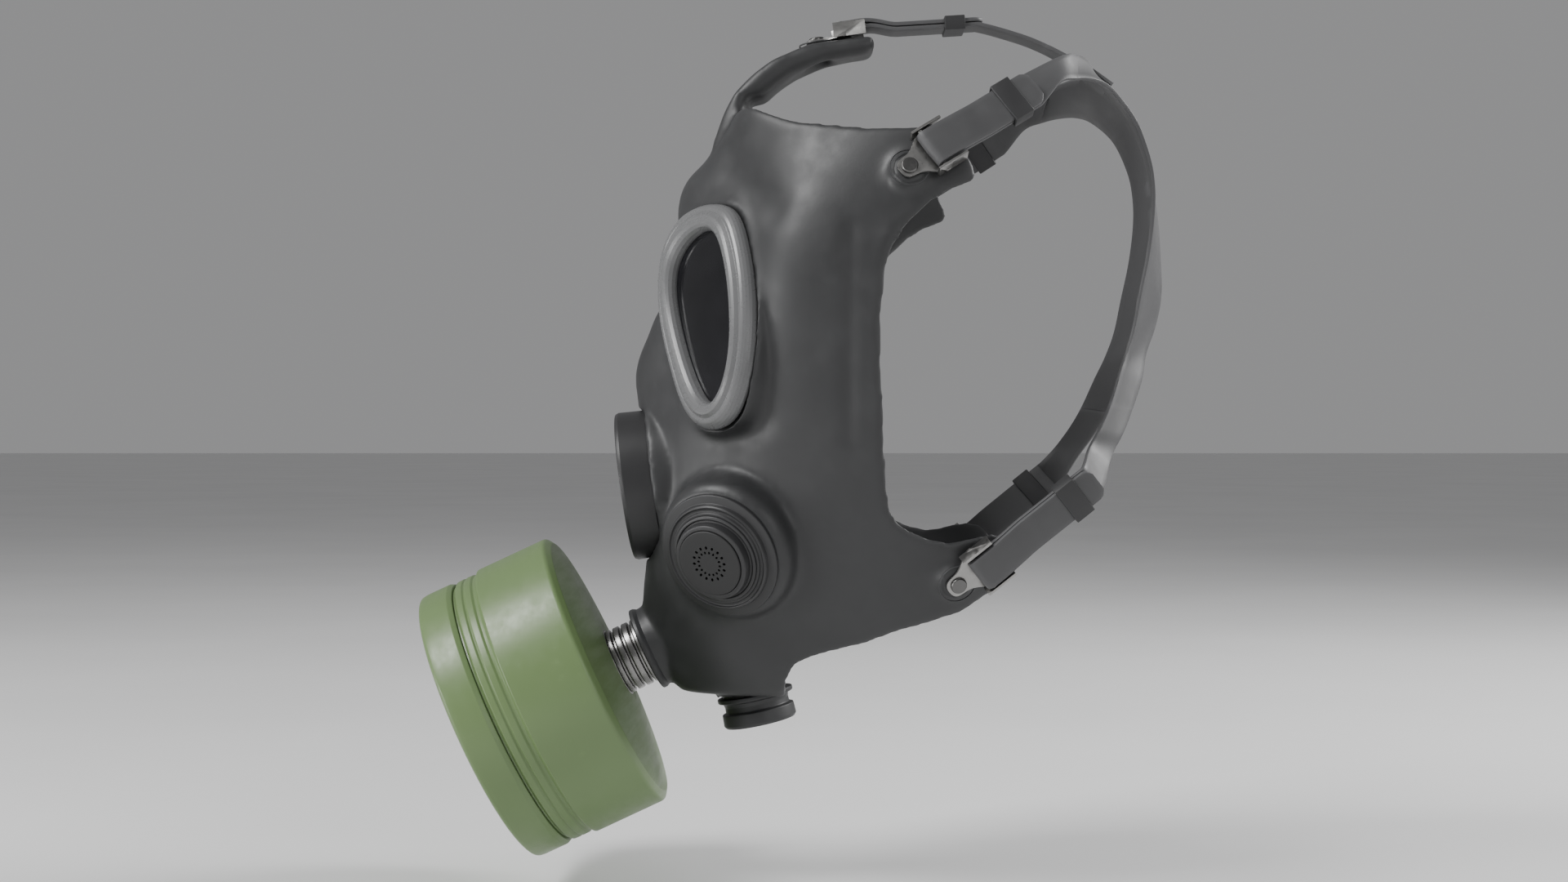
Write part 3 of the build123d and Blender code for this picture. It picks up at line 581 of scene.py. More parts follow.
def paint_nodes(**finishes):
    """New material on CAD nodes that keep their own meshes, as node=material."""
    for name, material in finishes.items():
        slots = NODES[name].data.materials
        if not slots:
            slots.append(MATERIALS[material])
        for i in range(len(slots)):
            slots[i] = MATERIALS[material]


# ------------------------------------------------------------------ face blank
def vertex_array(mesh):
    co = np.empty(len(mesh.vertices) * 3, np.float64)
    mesh.vertices.foreach_get("co", co)
    return co.reshape(-1, 3)


def soften(mesh, rounds, weight=None, inward=0.5, outward=-0.52):
    """Smoothing that alternates inward and outward steps, so that walls and edges keep their size."""
    co = vertex_array(mesh)
    edges = np.empty(len(mesh.edges) * 2, np.int64)
    mesh.edges.foreach_get("vertices", edges)
    edges = edges.reshape(-1, 2)
    count = np.bincount(edges.ravel(), minlength=len(co)).astype(float)[:, None]
    weight = 1.0 if weight is None else weight[:, None]
    for i in range(2 * rounds):
        w = weight * (outward if i % 2 else inward)
        total = np.zeros_like(co)
        for k in range(3):
            total[:, k] = (np.bincount(edges[:, 0], co[edges[:, 1], k], len(co))
                           + np.bincount(edges[:, 1], co[edges[:, 0], k], len(co)))
        co = co + (total / count - co) * w
    mesh.vertices.foreach_set("co", co.ravel())
    mesh.update()


def distance_from(co, place):
    """Radius and height (mm) of points about a port's axis."""
    d = co / MM - np.array(place[0])
    z = unit(place[1])
    h = d @ z
    return np.linalg.norm(d - h[:, None] * z, axis=1), h


def dent(co, normals, a, b, radius, depth):
    """Push the skin inwards (mm) along a soft line from a to b; a negative depth raises it."""
    p = co / MM
    a, b = np.array(a, float), np.array(b, float)
    t = np.clip(((p - a) @ (b - a)) / max((b - a) @ (b - a), 1e-9), 0, 1)
    gap = np.linalg.norm(p - (a + t[:, None] * (b - a)), axis=1)
    return co - normals * (depth * MM * np.exp(-(gap / radius) ** 2))[:, None]


# soft forms of the moulding on the wearer's left: from, to, radius, depth
FORMS = [
    ((30, -58, 82), (56, -42, 63), 7.5, 1.7),       # valley between forehead and eye socket
    ((14, -78, 79), (38, -62, 70), 6.5, -0.9),      # brow over the lens
    ((0, -88, 46), (0, -91, 30), 8.0, -0.9),        # bridge between the eye sockets
    ((0, -73, 87), (10, -72, 87), 4.5, 0.5),        # fold over the brow
    ((54, -60, -17), (60, -52, -12), 8.0, 1.8),     # hollow under the lens
    ((72, -16, 55), (70, -17, -20), 3.2, 0.7),      # crease down the side
    ((74, -3, 52), (73, -4, -38), 4.0, -0.5),       # swelling along the rear edge
    ((58, -36, -48), (60, -34, -80), 9.0, -0.9),    # lip behind the cheek port
    ((36, -52, -97), (44, -22, -92), 8.0, 0.8),     # hollow along the jaw
]


def build_face(scene):
    """Moulded rubber blank, remeshed and rounded from its solid."""
    source = NODES["face_blank"]
    mesh = source.data.copy()
    obj = bpy.data.objects.new("Face_blank", mesh)
    scene.collection.objects.link(obj)
    mesh.materials.clear()
    remesh = obj.modifiers.new("grain", "REMESH")
    remesh.mode, remesh.voxel_size = "VOXEL", scene.respirator_face.voxel
    remesh.use_smooth_shade = True
    apply_modifiers(obj)
    mesh = obj.data
    co = vertex_array(mesh)
    # seats of other pieces stay crisp; the open skin is rounded like a moulding
    keep, lip = np.ones(len(co)), np.zeros(len(co))
    for place, radius in ((FRONT, 31.0), (INLET, 17.0), (OUTLET, 16.5)):
        r, h = distance_from(co, place)
        keep[(r < radius) & (h > -26)] = 0.25
    for side in (1, -1):
        r, h = distance_from(co, (mirrored(CHEEK[0], side), mirrored(CHEEK[1], side)))
        keep[(r < 24.6) & (np.abs(h) < 14)] = 0.25
        lip[(r > 25.2) & (r < 36.0) & (np.abs(h) < 16)] = 1.0
    for centre, normal, _, _ in BUCKLES.values():
        r, h = distance_from(co, (centre, normal))
        lip[(r < 13.0) & (np.abs(h) < 7)] = 1.0
    lip[(co[:, 1] > 16 * MM) | (co[:, 2] > 96 * MM)] = 1.0
    soften(mesh, 10)
    soften(mesh, 6, keep, 0.5, 0.5)
    soften(mesh, 9, lip, 0.5, 0.5)
    soften(mesh, 40, keep)
    co = vertex_array(mesh)
    normals = np.empty(len(co) * 3, np.float64)
    mesh.vertices.foreach_get("normal", normals)
    normals = normals.reshape(-1, 3)
    # both skins of a wall move the same way
    centre = np.array([0.0, 0.005, 0.0])
    outward = unit_rows((co - centre) * np.array([1.0, 1.0, 0.35]))
    facing = np.sign((normals * outward).sum(axis=1))
    facing[facing == 0] = 1
    flow = outward * 0.6 + normals * facing[:, None] * 0.4
    for a, b, radius, depth in FORMS:
        for side in (1, -1):
            co = dent(co, flow, mirrored(a, side), mirrored(b, side), radius, depth)
    mesh.vertices.foreach_set("co", co.ravel())
    soften(mesh, 8, keep)
    mesh.shade_smooth()
    extras = [mesh_object("collar_lip", *lathe_shell(INLET, SIDEWAYS, [
        (14.4, -20), (15.6, -19.5), (16.6, -17.6, 0.8), (16.6, -16.2, 0.6), (15.5, -15.9, 0.3),
        (14.4, -15.9)], 96))]
    for name in BUCKLES:
        centre, normal, toward, _ = BUCKLES[name]
        extras.append(mesh_object("pad_line", *lathe_shell((centre, normal), toward, [
            (6.9, -0.5), (6.95, 0.06), (7.05, 0.1), (7.15, 0.06), (7.2, -0.5)], 72)))
    join_objects(obj, extras)
    dress(obj, "face_rubber", "facepiece", "face_blank")


# ------------------------------------------------------------------ lenses
LENS_OUT = [(-2, 42.5), (10, 39), (19, 27), (26, 12), (30.5, -7), (30.5, -23), (25, -37), (14.5, -42),
            (2.5, -40), (-8, -32), (-18, -18.5), (-27.5, -3.5), (-33.5, 12), (-34, 27), (-27, 37.5),
            (-15, 42)]
LENS_IN = [(-3, 33.5), (5, 29.5), (13, 18), (19, 4), (22.5, -10), (22.3, -22), (18, -31.5), (12, -33.5),
           (4.5, -28.5), (-3.5, -20), (-11, -10), (-17.5, 0.5), (-22.5, 11.5), (-23, 20.5), (-18.5, 27.5),
           (-11, 32)]
# rim section: share of the way from the outer outline (0) to the opening (1), height
RIM_SECTION = [(0.0, -3.4), (-0.09, -1.6), (-0.10, -0.2), (-0.07, 1.0), (0.0, 2.1),
               (0.09, 2.95), (0.18, 3.5), (0.255, 3.55), (0.30, 3.3), (0.345, 3.75), (0.44, 4.65),
               (0.56, 5.2), (0.68, 5.2), (0.80, 4.7), (0.90, 3.8), (0.97, 2.6),
               (1.0, 1.2), (1.0, -0.2), (0.9, -0.3), (0.66, -0.3), (0.66, -3.4)]


def lens_point(side, h, v, n):
    centre, normal, toward = LENS
    x, y, z = axes(normal, toward)
    p = np.array(centre) + x * h + y * v + z * n
    return np.array([p[0] * side, p[1], p[2]])


def build_lenses(scene):
    """Rims swept round each lens, with a slightly domed pane in each."""
    count = 180
    outer = relax(closed_curve(LENS_OUT, count), 30)
    inner = relax(closed_curve(LENS_IN, count), 30)
    for side, tag in ((1, "left"), (-1, "right")):
        rows = filleted([(s * 10, h, 0.3) for s, h in RIM_SECTION], True)
        n = len(rows)
        verts, faces = [], []
        for i in range(count):
            for s, h in rows:
                p = outer[i] + (inner[i] - outer[i]) * s / 10
                verts.append(lens_point(side, p[0], p[1], h))
        for i in range(count):
            j = (i + 1) % count
            for k in range(n):
                m = (k + 1) % n
                faces.append((i * n + k, j * n + k, j * n + m, i * n + m))
        rim = mesh_object("Lens_rim_" + tag, verts, faces)
        dress(rim, "rim", "facepiece", "lens_rim_" + tag)
        # slightly domed pane
        verts, faces = [], []
        rings = 10
        for layer in (0, 1):
            for r in range(rings + 1):
                k = r / rings
                for i in range(count):
                    edge = outer[i] + (inner[i] - outer[i]) * 0.70
                    mid = np.array([-1.0, 1.0])
                    p = mid + (edge - mid) * k
                    rise = (0.2 if layer == 0 else -1.6) + 1.1 * (1 - k * k)
                    verts.append(lens_point(side, p[0], p[1], rise))
        block = (rings + 1) * count
        for layer in (0, 1):
            for r in range(rings):
                for i in range(count):
                    j = (i + 1) % count
                    a = layer * block + r * count
                    faces.append((a + i, a + j, a + count + j, a + count + i))
        for i in range(count):
            j = (i + 1) % count
            a, b = rings * count, block + rings * count
            faces.append((a + i, a + j, b + j, b + i))
        vs, fs = merged(verts, faces)
        pane = mesh_object("Lens_" + tag, vs, fs)
        dress(pane, "glass", "facepiece", "lens_" + tag)
        paint_nodes(**{"lens_retainer_" + tag: "port"})


# ------------------------------------------------------------------ ports
def drilled_disc(name, place, toward, radius, low, high, circles, edge=0.4, dish=0.0, slot=1.0):
    """Disc with rings of round holes: circles are (ring radius, count, hole radius, turn)."""
    centre, normal = place
    x, y, z = axes(normal, toward)
    vs, fs = lathe_shell(place, toward, [(0, low), (radius, low, 0.2), (radius, high, edge),
                                         (radius * 0.75, high), (0, high + dish)], 96)
    disc = mesh_object(name, vs, fs)
    pins = []
    for ring, count, hole, turn in circles:
        for i in range(count):
            a = 2 * pi * (i + turn) / count
            radial, side = x * cos(a) + y * sin(a), y * cos(a) - x * sin(a)
            base = np.array(centre) + radial * ring
            loop = [base + (radial * cos(b) * slot + side * sin(b)) * hole
                    for b in np.arange(12) * pi / 6]
            vs2 = [p + z * (low - 1) for p in loop] + [p + z * (high + 2) for p in loop]
            fs2 = [tuple(range(12))[::-1], tuple(range(12, 24))]
            fs2 += [(k, (k + 1) % 12, 12 + (k + 1) % 12, 12 + k) for k in range(12)]
            pins.append((vs2, fs2))
    cutter = join_parts(name + "_cutter", pins)
    mod = disc.modifiers.new("holes", "BOOLEAN")
    mod.operation, mod.solver, mod.object = "DIFFERENCE", "EXACT", cutter
    apply_modifiers(disc)
    bpy.data.objects.remove(cutter)
    sharp_by_angle(disc)
    return disc


def build_front_port(scene):
    """Short drum on the nose with its drilled cover."""
    drum = lathe("Front_port_housing", FRONT, [
        (24.4, -20), (24.4, -12), (28.6, -12), (29.0, -1.4, 0.6), (28.4, 0, 0.6), (26.4, 0, 0.4),
        (25.9, -2.9), (21, -3), (21, -5), (17, -5), (17, -20)], 144)
    sharp_by_angle(drum)
    dress(drum, "port", "facepiece", "front_port_housing")
    cover = drilled_disc("Front_port_cover", FRONT, (1, 0, 0), 25.8, -2.9, -1.4, [
        (8, 8, 1.5, 0), (14, 12, 1.5, 0.5), (20, 18, 1.5, 0)], 0.4, 0.8)
    dress(cover, "port_disc", "facepiece", "front_port_cover")
    paint_nodes(front_diaphragm="film", diaphragm_ring="screen", front_port_nut="port")


def valve_seat(place):
    """Seat ring and hub of a cheek port's valve, joined by three spokes."""
    x, y, z = axes(place[1], SIDEWAYS)
    seat = [(8.5, -7), (12.3, -7), (12.3, -5.5), (8.5, -5.5, 0.3)]
    hub = [(1.55, -7), (2.8, -7, 0.2), (2.8, -5.5, 0.2), (1.55, -5.5)]
    shells = [lathe_shell(place, SIDEWAYS, seat), lathe_shell(place, SIDEWAYS, hub, 48)]
    for k in range(3):
        out = x * cos(2 * pi * k / 3) + y * sin(2 * pi * k / 3)
        wide = np.cross(z, out)
        loop = [(-0.7, -7), (0.7, -7), (0.7, -5.8), (0.5, -5.55), (-0.5, -5.55), (-0.7, -5.8)]
        verts = [np.array(place[0]) + out * r + wide * w + z * h for r in (2.6, 8.8) for w, h in loop]
        faces = [(i, (i + 1) % 6, 6 + (i + 1) % 6, 6 + i) for i in range(6)]
        faces += [tuple(range(6)), tuple(range(6, 12))]
        shells.append((verts, faces))
    return join_parts("Valve_seat", shells)


def build_cheek_ports(scene):
    """Ring, stepped housing and perforated cap on each cheek."""
    for side, tag in ((1, "left"), (-1, "right")):
        place = (mirrored(CHEEK[0], side), mirrored(CHEEK[1], side))
        ring = lathe("Cheek_ring_" + tag, place, [
            (17.1, -1), (24.0, -1), (24.0, 0.55, 0.5), (20.9, 0.85, 0.3), (20.5, 2.4, 0.5), (19.9, 3.0, 0.4),
            (19.2, 2.3, 0.4), (18.3, 2.3, 0.4), (17.9, 3.2, 0.4), (17.1, 3.2)], 120)
        sharp_by_angle(ring)
        dress(ring, "port", "facepiece", "cheek_ring_" + tag)
        wall = lathe("Cheek_housing_" + tag, place, [
            (12.0, -9), (14.6, -9), (14.6, -17), (17.0, -17), (17.0, 3.9, 0.5), (15.9, 4.2, 0.4),
            (15.4, 3.6, 0.3), (14.9, 4.0), (14.5, 7.2, 0.7), (12.8, 7.4, 0.3), (12.8, 4.5), (12.0, 4.5)], 120)
        join_objects(wall, [valve_seat(place)])
        sharp_by_angle(wall)
        dress(wall, "port", "facepiece", "cheek_housing_" + tag)
        cap = drilled_disc("Cheek_cap_" + tag, place, (0, 1, 0), 12.7, 6.6, 8.0, [
            (4.4, 16, 0.42, 0), (6.3, 16, 0.50, 0.5)], 0.5, 0.0, 1.3)
        dress(cap, "port_disc", "facepiece", "cheek_cap_" + tag)
        paint_nodes(**{"cheek_valve_" + tag: "valve_rubber"})
    paint_nodes(cheek_nuts="port")


def build_inlet(scene):
    """Socket that the filter screws into, with its valve."""
    paint_nodes(inlet_socket="thread", inhale_seat="port", inhale_valve="valve_rubber",
                neck_gasket="keeper_rubber")


def build_outlet(scene):
    """Ribbed spout under the chin, with its valve."""
    spout = lathe("Outlet_housing", OUTLET, [
        (10.5, -9), (12.6, -9), (12.6, 1.9), (14.9, 2.2, 0.5), (14.9, 3.9, 0.6), (13.0, 4.4, 0.6),
        (12.6, 6.0, 1.0), (12.7, 8.0, 0.6), (14.2, 8.6, 0.5), (14.4, 13.0, 0.7), (13.6, 14.0, 0.4),
        (11.2, 14.0, 0.5), (10.5, 13.2)], 120)
    sharp_by_angle(spout, 50)
    dress(spout, "face_rubber", "facepiece", "outlet_housing")
    paint_nodes(outlet_seat="port", exhale_valve="valve_rubber", outlet_clamp="screen")


def build_nose_cup(scene):
    """Inner cup with its two valves."""
    paint_nodes(nose_cup="face_rubber", cup_seat_left="port", cup_seat_right="port",
                cup_valve_left="valve_rubber", cup_valve_right="valve_rubber")


# ------------------------------------------------------------------ filter
THREAD_R, THREAD_ROOT_R, PITCH = 13.0, 11.7, 3.63


def build_filter(scene):
    """Drum of can and lid, the threaded neck and the fill."""
    steps = scene.respirator_filter.steps
    can = lathe("Filter_can", INLET, [
        (13.6, -4.0), (16.0, -4.2, 1.0), (30, -3.0), (53.0, -0.35, 2.0), (56.0, 1.6, 2.2), (56.0, 30.2, 0.8),
        (54.6, 31.2, 0.5), (54.4, 32.4, 0.4), (55.0, 33.2, 0.6), (55.05, 35.6, 0.7), (54.4, 36.3, 0.4),
        (55.05, 37.0, 0.7), (55.0, 39.4, 0.7), (53.6, 40.2, 0.4), (53.6, 40.9), (52.4, 40.9), (52.4, 32),
        (55.2, 29.7), (55.2, 2.0), (53.8, 0.9), (13.6, -2.75)], steps)
    sharp_by_angle(can, 60)
    dress(can, "paint", "filter", "filter_can")
    lid = lathe("Filter_lid", INLET, [
        (22, 53.1), (44, 54.1, 1.0), (50, 54.6), (53.4, 55.5, 1.0), (55.2, 54.6, 1.6), (55.5, 52.0),
        (55.5, 43.0, 1.2), (54.6, 41.2, 0.5), (53.0, 41.1), (53.0, 42.4), (54.3, 43.2), (54.3, 53.4),
        (52.6, 54.0), (44, 52.8), (22, 51.8)], steps)
    sharp_by_angle(lid, 60)
    dress(lid, "paint", "filter", "filter_lid")
    outline = [(9.0, -0.7), (20.0, -0.7), (20.0, -1.9), (13.5, -2.7), (13.5, -4.2, 0.3),
               (THREAD_ROOT_R, -4.25)]
    z, end = -4.9, -26.3
    while z > end + 1.6:
        outline += [(THREAD_ROOT_R, z + 1.5, 0.1), (THREAD_R, z + 1.15, 0.45), (THREAD_R, z - 1.15, 0.45),
                    (THREAD_ROOT_R, z - 1.5, 0.1)]
        z -= PITCH
    # the first ring begins right at the can
    outline[6] = (THREAD_ROOT_R, -4.26)
    outline[7] = (THREAD_R, -4.4, 0.1)
    outline += [(THREAD_ROOT_R, end, 0.4), (9.9, end), (9.9, end - 2.2, 0.2), (9.0, end - 2.2)]
    neck = lathe("Filter_neck", INLET, outline, 120)
    sharp_by_angle(neck, 50)
    dress(neck, "thread", "filter", "filter_neck")
    paint_nodes(intake_grille="screen", rear_screen="screen", front_screen="screen", carbon_bed="carbon",
                particulate_element="paper")


# ------------------------------------------------------------------ harness
HALF = [
    ((62, 60.6, 109.5), (50.5, 62.5, 121)),
    ((55, 67.4, 111.8), (37, 69.5, 123.6)), ((48, 73.9, 112.7), (20, 76, 124)),
    ((40, 80.5, 111.9), (6, 80.5, 121.5)), ((33, 86.1, 108.4), (-0.4, 86.5, 116)),
    ((27, 93.5, 100), (-0.4, 94.5, 105.5)), ((24, 98.7, 87.7), (-0.4, 101, 91)),
    ((23, 100.7, 77.6), (-0.4, 104, 78)), ((22, 100.8, 66), (-0.4, 105.8, 66)),
    ((22, 99, 51), (-0.4, 107, 51)), ((22.5, 95.9, 36.2), (-0.4, 107.3, 36)),
    ((23.5, 93.2, 22.8), (3, 104.5, 24)), ((26, 90, 13.3), (12, 99.5, 13)),
    ((31, 86.4, 4.8), (20.5, 96.5, 2.5)), ((38, 81.7, -7.3), (29, 91.5, -9)),
    ((44, 77.1, -16.2), (36, 87, -18)), ((50, 72.2, -23.5), (43.5, 81.5, -27)),
]
TOP = [((-7, 52, 136.8), (7, 52, 136.8)), ((-7, 62, 132.8), (7, 62, 132.8)),
       ((-8, 70, 128.5), (8, 70, 128.5)), ((-12, 78, 123.2), (12, 78, 123.2)),
       ((-18, 86, 116), (18, 86, 116))]
BAR_R, STRAP_LOW, FOLD_AT, SETTLE, SOFT = 0.9, 1.3, 10.0, 14.0, 0.3
LEAN = {"forehead": 4.0}
ARCH = {"forehead": 2.0}      # rise of the strap just behind its buckle
CUT = 9.0                     # the strap end folded over a buckle ends this far past its keeper


def bar_height(thick):
    return STRAP_LOW + thick + BAR_R + 0.05


def strap_axes(name, thick):
    """Origin and axes of the strap that leaves a buckle, leaning on the buckle's bar."""
    centre, normal, toward, _ = BUCKLES[name]
    x, y, z = axes(normal, toward)
    lean = radians(LEAN.get(name, 0.0))
    high = bar_height(thick)
    bar = np.array(centre, float) + x * FOLD_AT + z * high
    x2, z2 = x * cos(lean) - z * sin(lean), z * cos(lean) + x * sin(lean)
    return bar - x2 * FOLD_AT - z2 * high, x2, y, z2


def arch(name, l):
    """Extra height of the strap between its bar and its keeper's travel."""
    t = (l - FOLD_AT) / 22.0
    return ARCH.get(name, 0.9) * sin(pi * t) ** 2 if 0 < t < 1 else 0.0


def strap_row(name, l, z, half, thick, flip=1):
    o, x, y, n = strap_axes(name, thick)
    mid = o + x * l + n * (z + arch(name, l))
    return (*(mid - y * half * flip), *(mid + y * half * flip))


def folded_rows(name, half, thick):
    """The strap end from its tail, over the bar and back along the inner layer to its cut."""
    keep = BUCKLES[name][3]
    bar = bar_height(thick)
    reach = BAR_R + 0.05 + thick / 2
    settled = STRAP_LOW + 1.5 * thick + SOFT
    rows = []
    for l in np.linspace(keep + 11, FOLD_AT + 1.0, 34):
        k = min(1.0, (l - FOLD_AT) / SETTLE)
        k = k * k * (3 - 2 * k)
        past = keep + 11 - l
        w = half - (2.6 * (1 - past / 3) ** 2 if past < 3 else 0.0)
        rows.append(strap_row(name, l, bar + reach + (settled - bar - reach) * k, w, thick))
    for a in np.linspace(0.1, pi - 0.1, 11):
        rows.append(strap_row(name, FOLD_AT - reach * sin(a), bar + reach * cos(a), half, thick))
    for l in np.linspace(FOLD_AT + 1.0, keep + CUT, 26):
        rows.append(strap_row(name, l, STRAP_LOW + thick / 2, half, thick))
    return rows


def swapped(rows):
    return [(*r[3:], *r[:3]) for r in rows]


def build_harness(scene):
    """The moulded crown and its straps; each strap's end is built folded over its buckle's bar."""
    width = scene.respirator_harness.strap_width / MM
    thick = scene.respirator_harness.strap_thickness / MM
    half = width / 2
    pieces = []
    per = 7
    for side, tag in ((1, "left"), (-1, "right")):
        temple, cheek = tag + "_temple", tag + "_cheek"
        rows = [strap_row(temple, l, STRAP_LOW + thick / 2, half, thick, side)
                for l in (BUCKLES[temple][3] + 2, BUCKLES[temple][3] + CUT)]
        rows += [(*mirrored(p, side), *mirrored(q, side)) for p, q in HALF]
        rows += [strap_row(cheek, l, STRAP_LOW + thick / 2, half, thick, -side)
                 for l in (BUCKLES[cheek][3] + CUT, BUCKLES[cheek][3] + 2)]
        path = smooth_path(rows, per)
        first, last = 3 * per, len(path) - 1 - 4 * per
        pieces.append(ribbon_shell(path[first:last + 1], thick, bow=0.25))
        strap_end(temple, path[per:first + 1], side, half, thick)
        strap_end(cheek, path[last:len(path) - per][::-1], -side, half, thick)
    rows = [strap_row("forehead", l, STRAP_LOW + thick / 2, half, thick) for l in (56, 63)]
    crown = [(*p, *q) for p, q in TOP]
    if rows[0][0] > rows[0][3]:
        crown = swapped(crown)
    path = smooth_path(rows + crown, per)
    first = per * 3
    pieces.append(ribbon_shell(path[first:], thick, bow=0.25))
    strap_end("forehead", path[per:first + 1], 1, half, thick)
    shells = [mesh_object("strap_%d" % i, *p) for i, p in enumerate(pieces)]
    obj = boolean_union(shells[0], shells[1:])
    obj.name = "Head_harness"
    sharp_by_angle(obj, 55)
    dress(obj, "strap_rubber", "facepiece", "head_harness")


def strap_end(name, onward, flip, half, thick):
    """One strap: folded over its bar, through its keeper and on into the harness."""
    rows = folded_rows(name, half, thick)
    onward = [tuple(r) for r in onward]
    if flip < 0:
        onward = swapped(onward)
    path = np.array(rows + onward[1:])
    obj = mesh_object("Strap_end_" + name, *ribbon_shell(path, thick, bow=0.25))
    sharp_by_angle(obj, 55)
    dress(obj, "strap_rubber", None, "strap_end_" + name)
    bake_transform(obj)


def build_buckles(scene):
    """Buckles, keepers and rivets."""
    for name in BUCKLES:
        buckle = rounded_copy("Buckle_" + name, "buckle_" + name, 0.22)
        dress(buckle, "buckle", "buckle_" + name, "buckle_" + name)
        keeper = rounded_copy("Keeper_" + name, "keeper_" + name, 0.45)
        dress(keeper, "keeper_rubber", "keeper_" + name, "keeper_" + name)
    heads = []
    for name, (centre, normal, toward, _) in BUCKLES.items():
        heads.append(lathe_shell((centre, normal), toward, [
            (0, -6.9), (2.2, -6.9, 0.4), (2.5, -6.1, 0.3), (1.6, -6.0), (1.6, 1.1), (3.0, 1.1),
            (3.05, 1.75, 0.4), (2.7, 2.25, 0.3), (2.2, 2.2, 0.2), (0, 2.45)], 48))
    rivets = join_parts("Rivets", heads)
    sharp_by_angle(rivets, 50)
    dress(rivets, "rivet", "facepiece", "rivets")
    paint_nodes(rivet_washers="buckle")


# ------------------------------------------------------------------ stage
LIGHTS = [  # name, place, aim, size, watts
    ("Key", (0.55, -1.15, 1.25), (0, -0.03, 0.0), 0.7, 30),
    ("Back", (-0.35, 1.25, 0.75), (0, 0.03, 0.03), 0.7, 26),
    ("Front", (0.45, -1.35, -0.25), (0, -0.03, 0.0), 0.7, 18),
    ("Fill", (1.5, 0.9, 0.5), (0, 0, 0), 1.0, 6),
]
CAMERA_AT = (0.8533, -0.040, -0.0208)
FLOOR_GAP, FLOOR_SIZE = 0.012, 30.0
STUDIO_LIGHT = 0.36


def build_stage(scene):
    """Plain floor, soft lights and the camera beside the mask."""
    floor_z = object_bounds()[0].z - FLOOR_GAP
    mesh = bpy.data.meshes.new("Floor")
    corners = [(-1, -1), (1, -1), (1, 1), (-1, 1)]
    mesh.from_pydata([(x * FLOOR_SIZE, y * FLOOR_SIZE, floor_z) for x, y in corners], [], [(0, 1, 2, 3)])
    floor = bpy.data.objects.new("Floor", mesh)
    scene.collection.objects.link(floor)
    mat, nodes, links, bsdf = new_material("Floor paper")
    grain = object_noise(nodes, links, 3, 3)
    links.new(tint(nodes, links, grain, (0.68, 0.68, 0.68, 1), (0.72, 0.72, 0.72, 1)),
              bsdf.inputs["Base Color"])
    bsdf.inputs["Roughness"].default_value = 0.8
    mesh.materials.append(mat)
    floor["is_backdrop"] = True
    world = bpy.data.worlds.new("Studio")
    world.use_nodes = True
    backdrop = world.node_tree.nodes["Background"].inputs
    backdrop["Color"].default_value = (0.80, 0.80, 0.81, 1)
    backdrop["Strength"].default_value = STUDIO_LIGHT
    scene.world = world
    for name, place, aim, size, power in LIGHTS:
        light = bpy.data.lights.new(name, "AREA")
        light.size, light.energy = size, power
        lamp = bpy.data.objects.new(name, light)
        lamp.location = place
        lamp.rotation_euler = (Vector(aim) - Vector(place)).to_track_quat("-Z", "Y").to_euler()
        scene.collection.objects.link(lamp)
    cam = bpy.data.cameras.new("Camera")
    cam.lens, cam.sensor_width = 50, 36
    cam.clip_start = 0.01
    camera = bpy.data.objects.new("Camera", cam)
    camera.location = CAMERA_AT
    camera.rotation_euler = (radians(90), 0, radians(90))
    scene.collection.objects.link(camera)
    scene.camera = camera


# ------------------------------------------------------------------ operators
class RESPIRATOR_OT_materials(bpy.types.Operator):
    """Make the materials of all pieces"""
    bl_idname = "respirator.materials"
    bl_label = "Materials"
    bl_options = {"REGISTER", "UNDO"}

    def execute(self, context):
        make_materials(context.scene)
        return {"FINISHED"}


class RESPIRATOR_OT_face(bpy.types.Operator):
    """Build the moulded rubber face blank"""
    bl_idname = "respirator.face"
    bl_label = "Face blank"
    bl_options = {"REGISTER", "UNDO"}

    def execute(self, context):
        build_face(context.scene)
        return {"FINISHED"}


class RESPIRATOR_OT_lenses(bpy.types.Operator):
    """Build both lenses and their rims"""
    bl_idname = "respirator.lenses"
    bl_label = "Lenses"
    bl_options = {"REGISTER", "UNDO"}

    def execute(self, context):
        build_lenses(context.scene)
        return {"FINISHED"}


class RESPIRATOR_OT_front_port(bpy.types.Operator):
    """Build the front speech port"""
    bl_idname = "respirator.front_port"
    bl_label = "Front port"
    bl_options = {"REGISTER", "UNDO"}

    def execute(self, context):
        build_front_port(context.scene)
        return {"FINISHED"}


class RESPIRATOR_OT_cheek_ports(bpy.types.Operator):
    """Build both cheek ports"""
    bl_idname = "respirator.cheek_ports"
    bl_label = "Cheek ports"
    bl_options = {"REGISTER", "UNDO"}

    def execute(self, context):
        build_cheek_ports(context.scene)
        return {"FINISHED"}


class RESPIRATOR_OT_inlet(bpy.types.Operator):
    """Finish the inlet socket and its valve"""
    bl_idname = "respirator.inlet"
    bl_label = "Inlet"
    bl_options = {"REGISTER", "UNDO"}

    def execute(self, context):
        build_inlet(context.scene)
        return {"FINISHED"}


class RESPIRATOR_OT_outlet(bpy.types.Operator):
    """Build the chin outlet"""
    bl_idname = "respirator.outlet"
    bl_label = "Outlet"
    bl_options = {"REGISTER", "UNDO"}

    def execute(self, context):
        build_outlet(context.scene)
        return {"FINISHED"}


class RESPIRATOR_OT_nose_cup(bpy.types.Operator):
    """Finish the nose cup and its valves"""
    bl_idname = "respirator.nose_cup"
    bl_label = "Nose cup"
    bl_options = {"REGISTER", "UNDO"}

    def execute(self, context):
        build_nose_cup(context.scene)
        return {"FINISHED"}


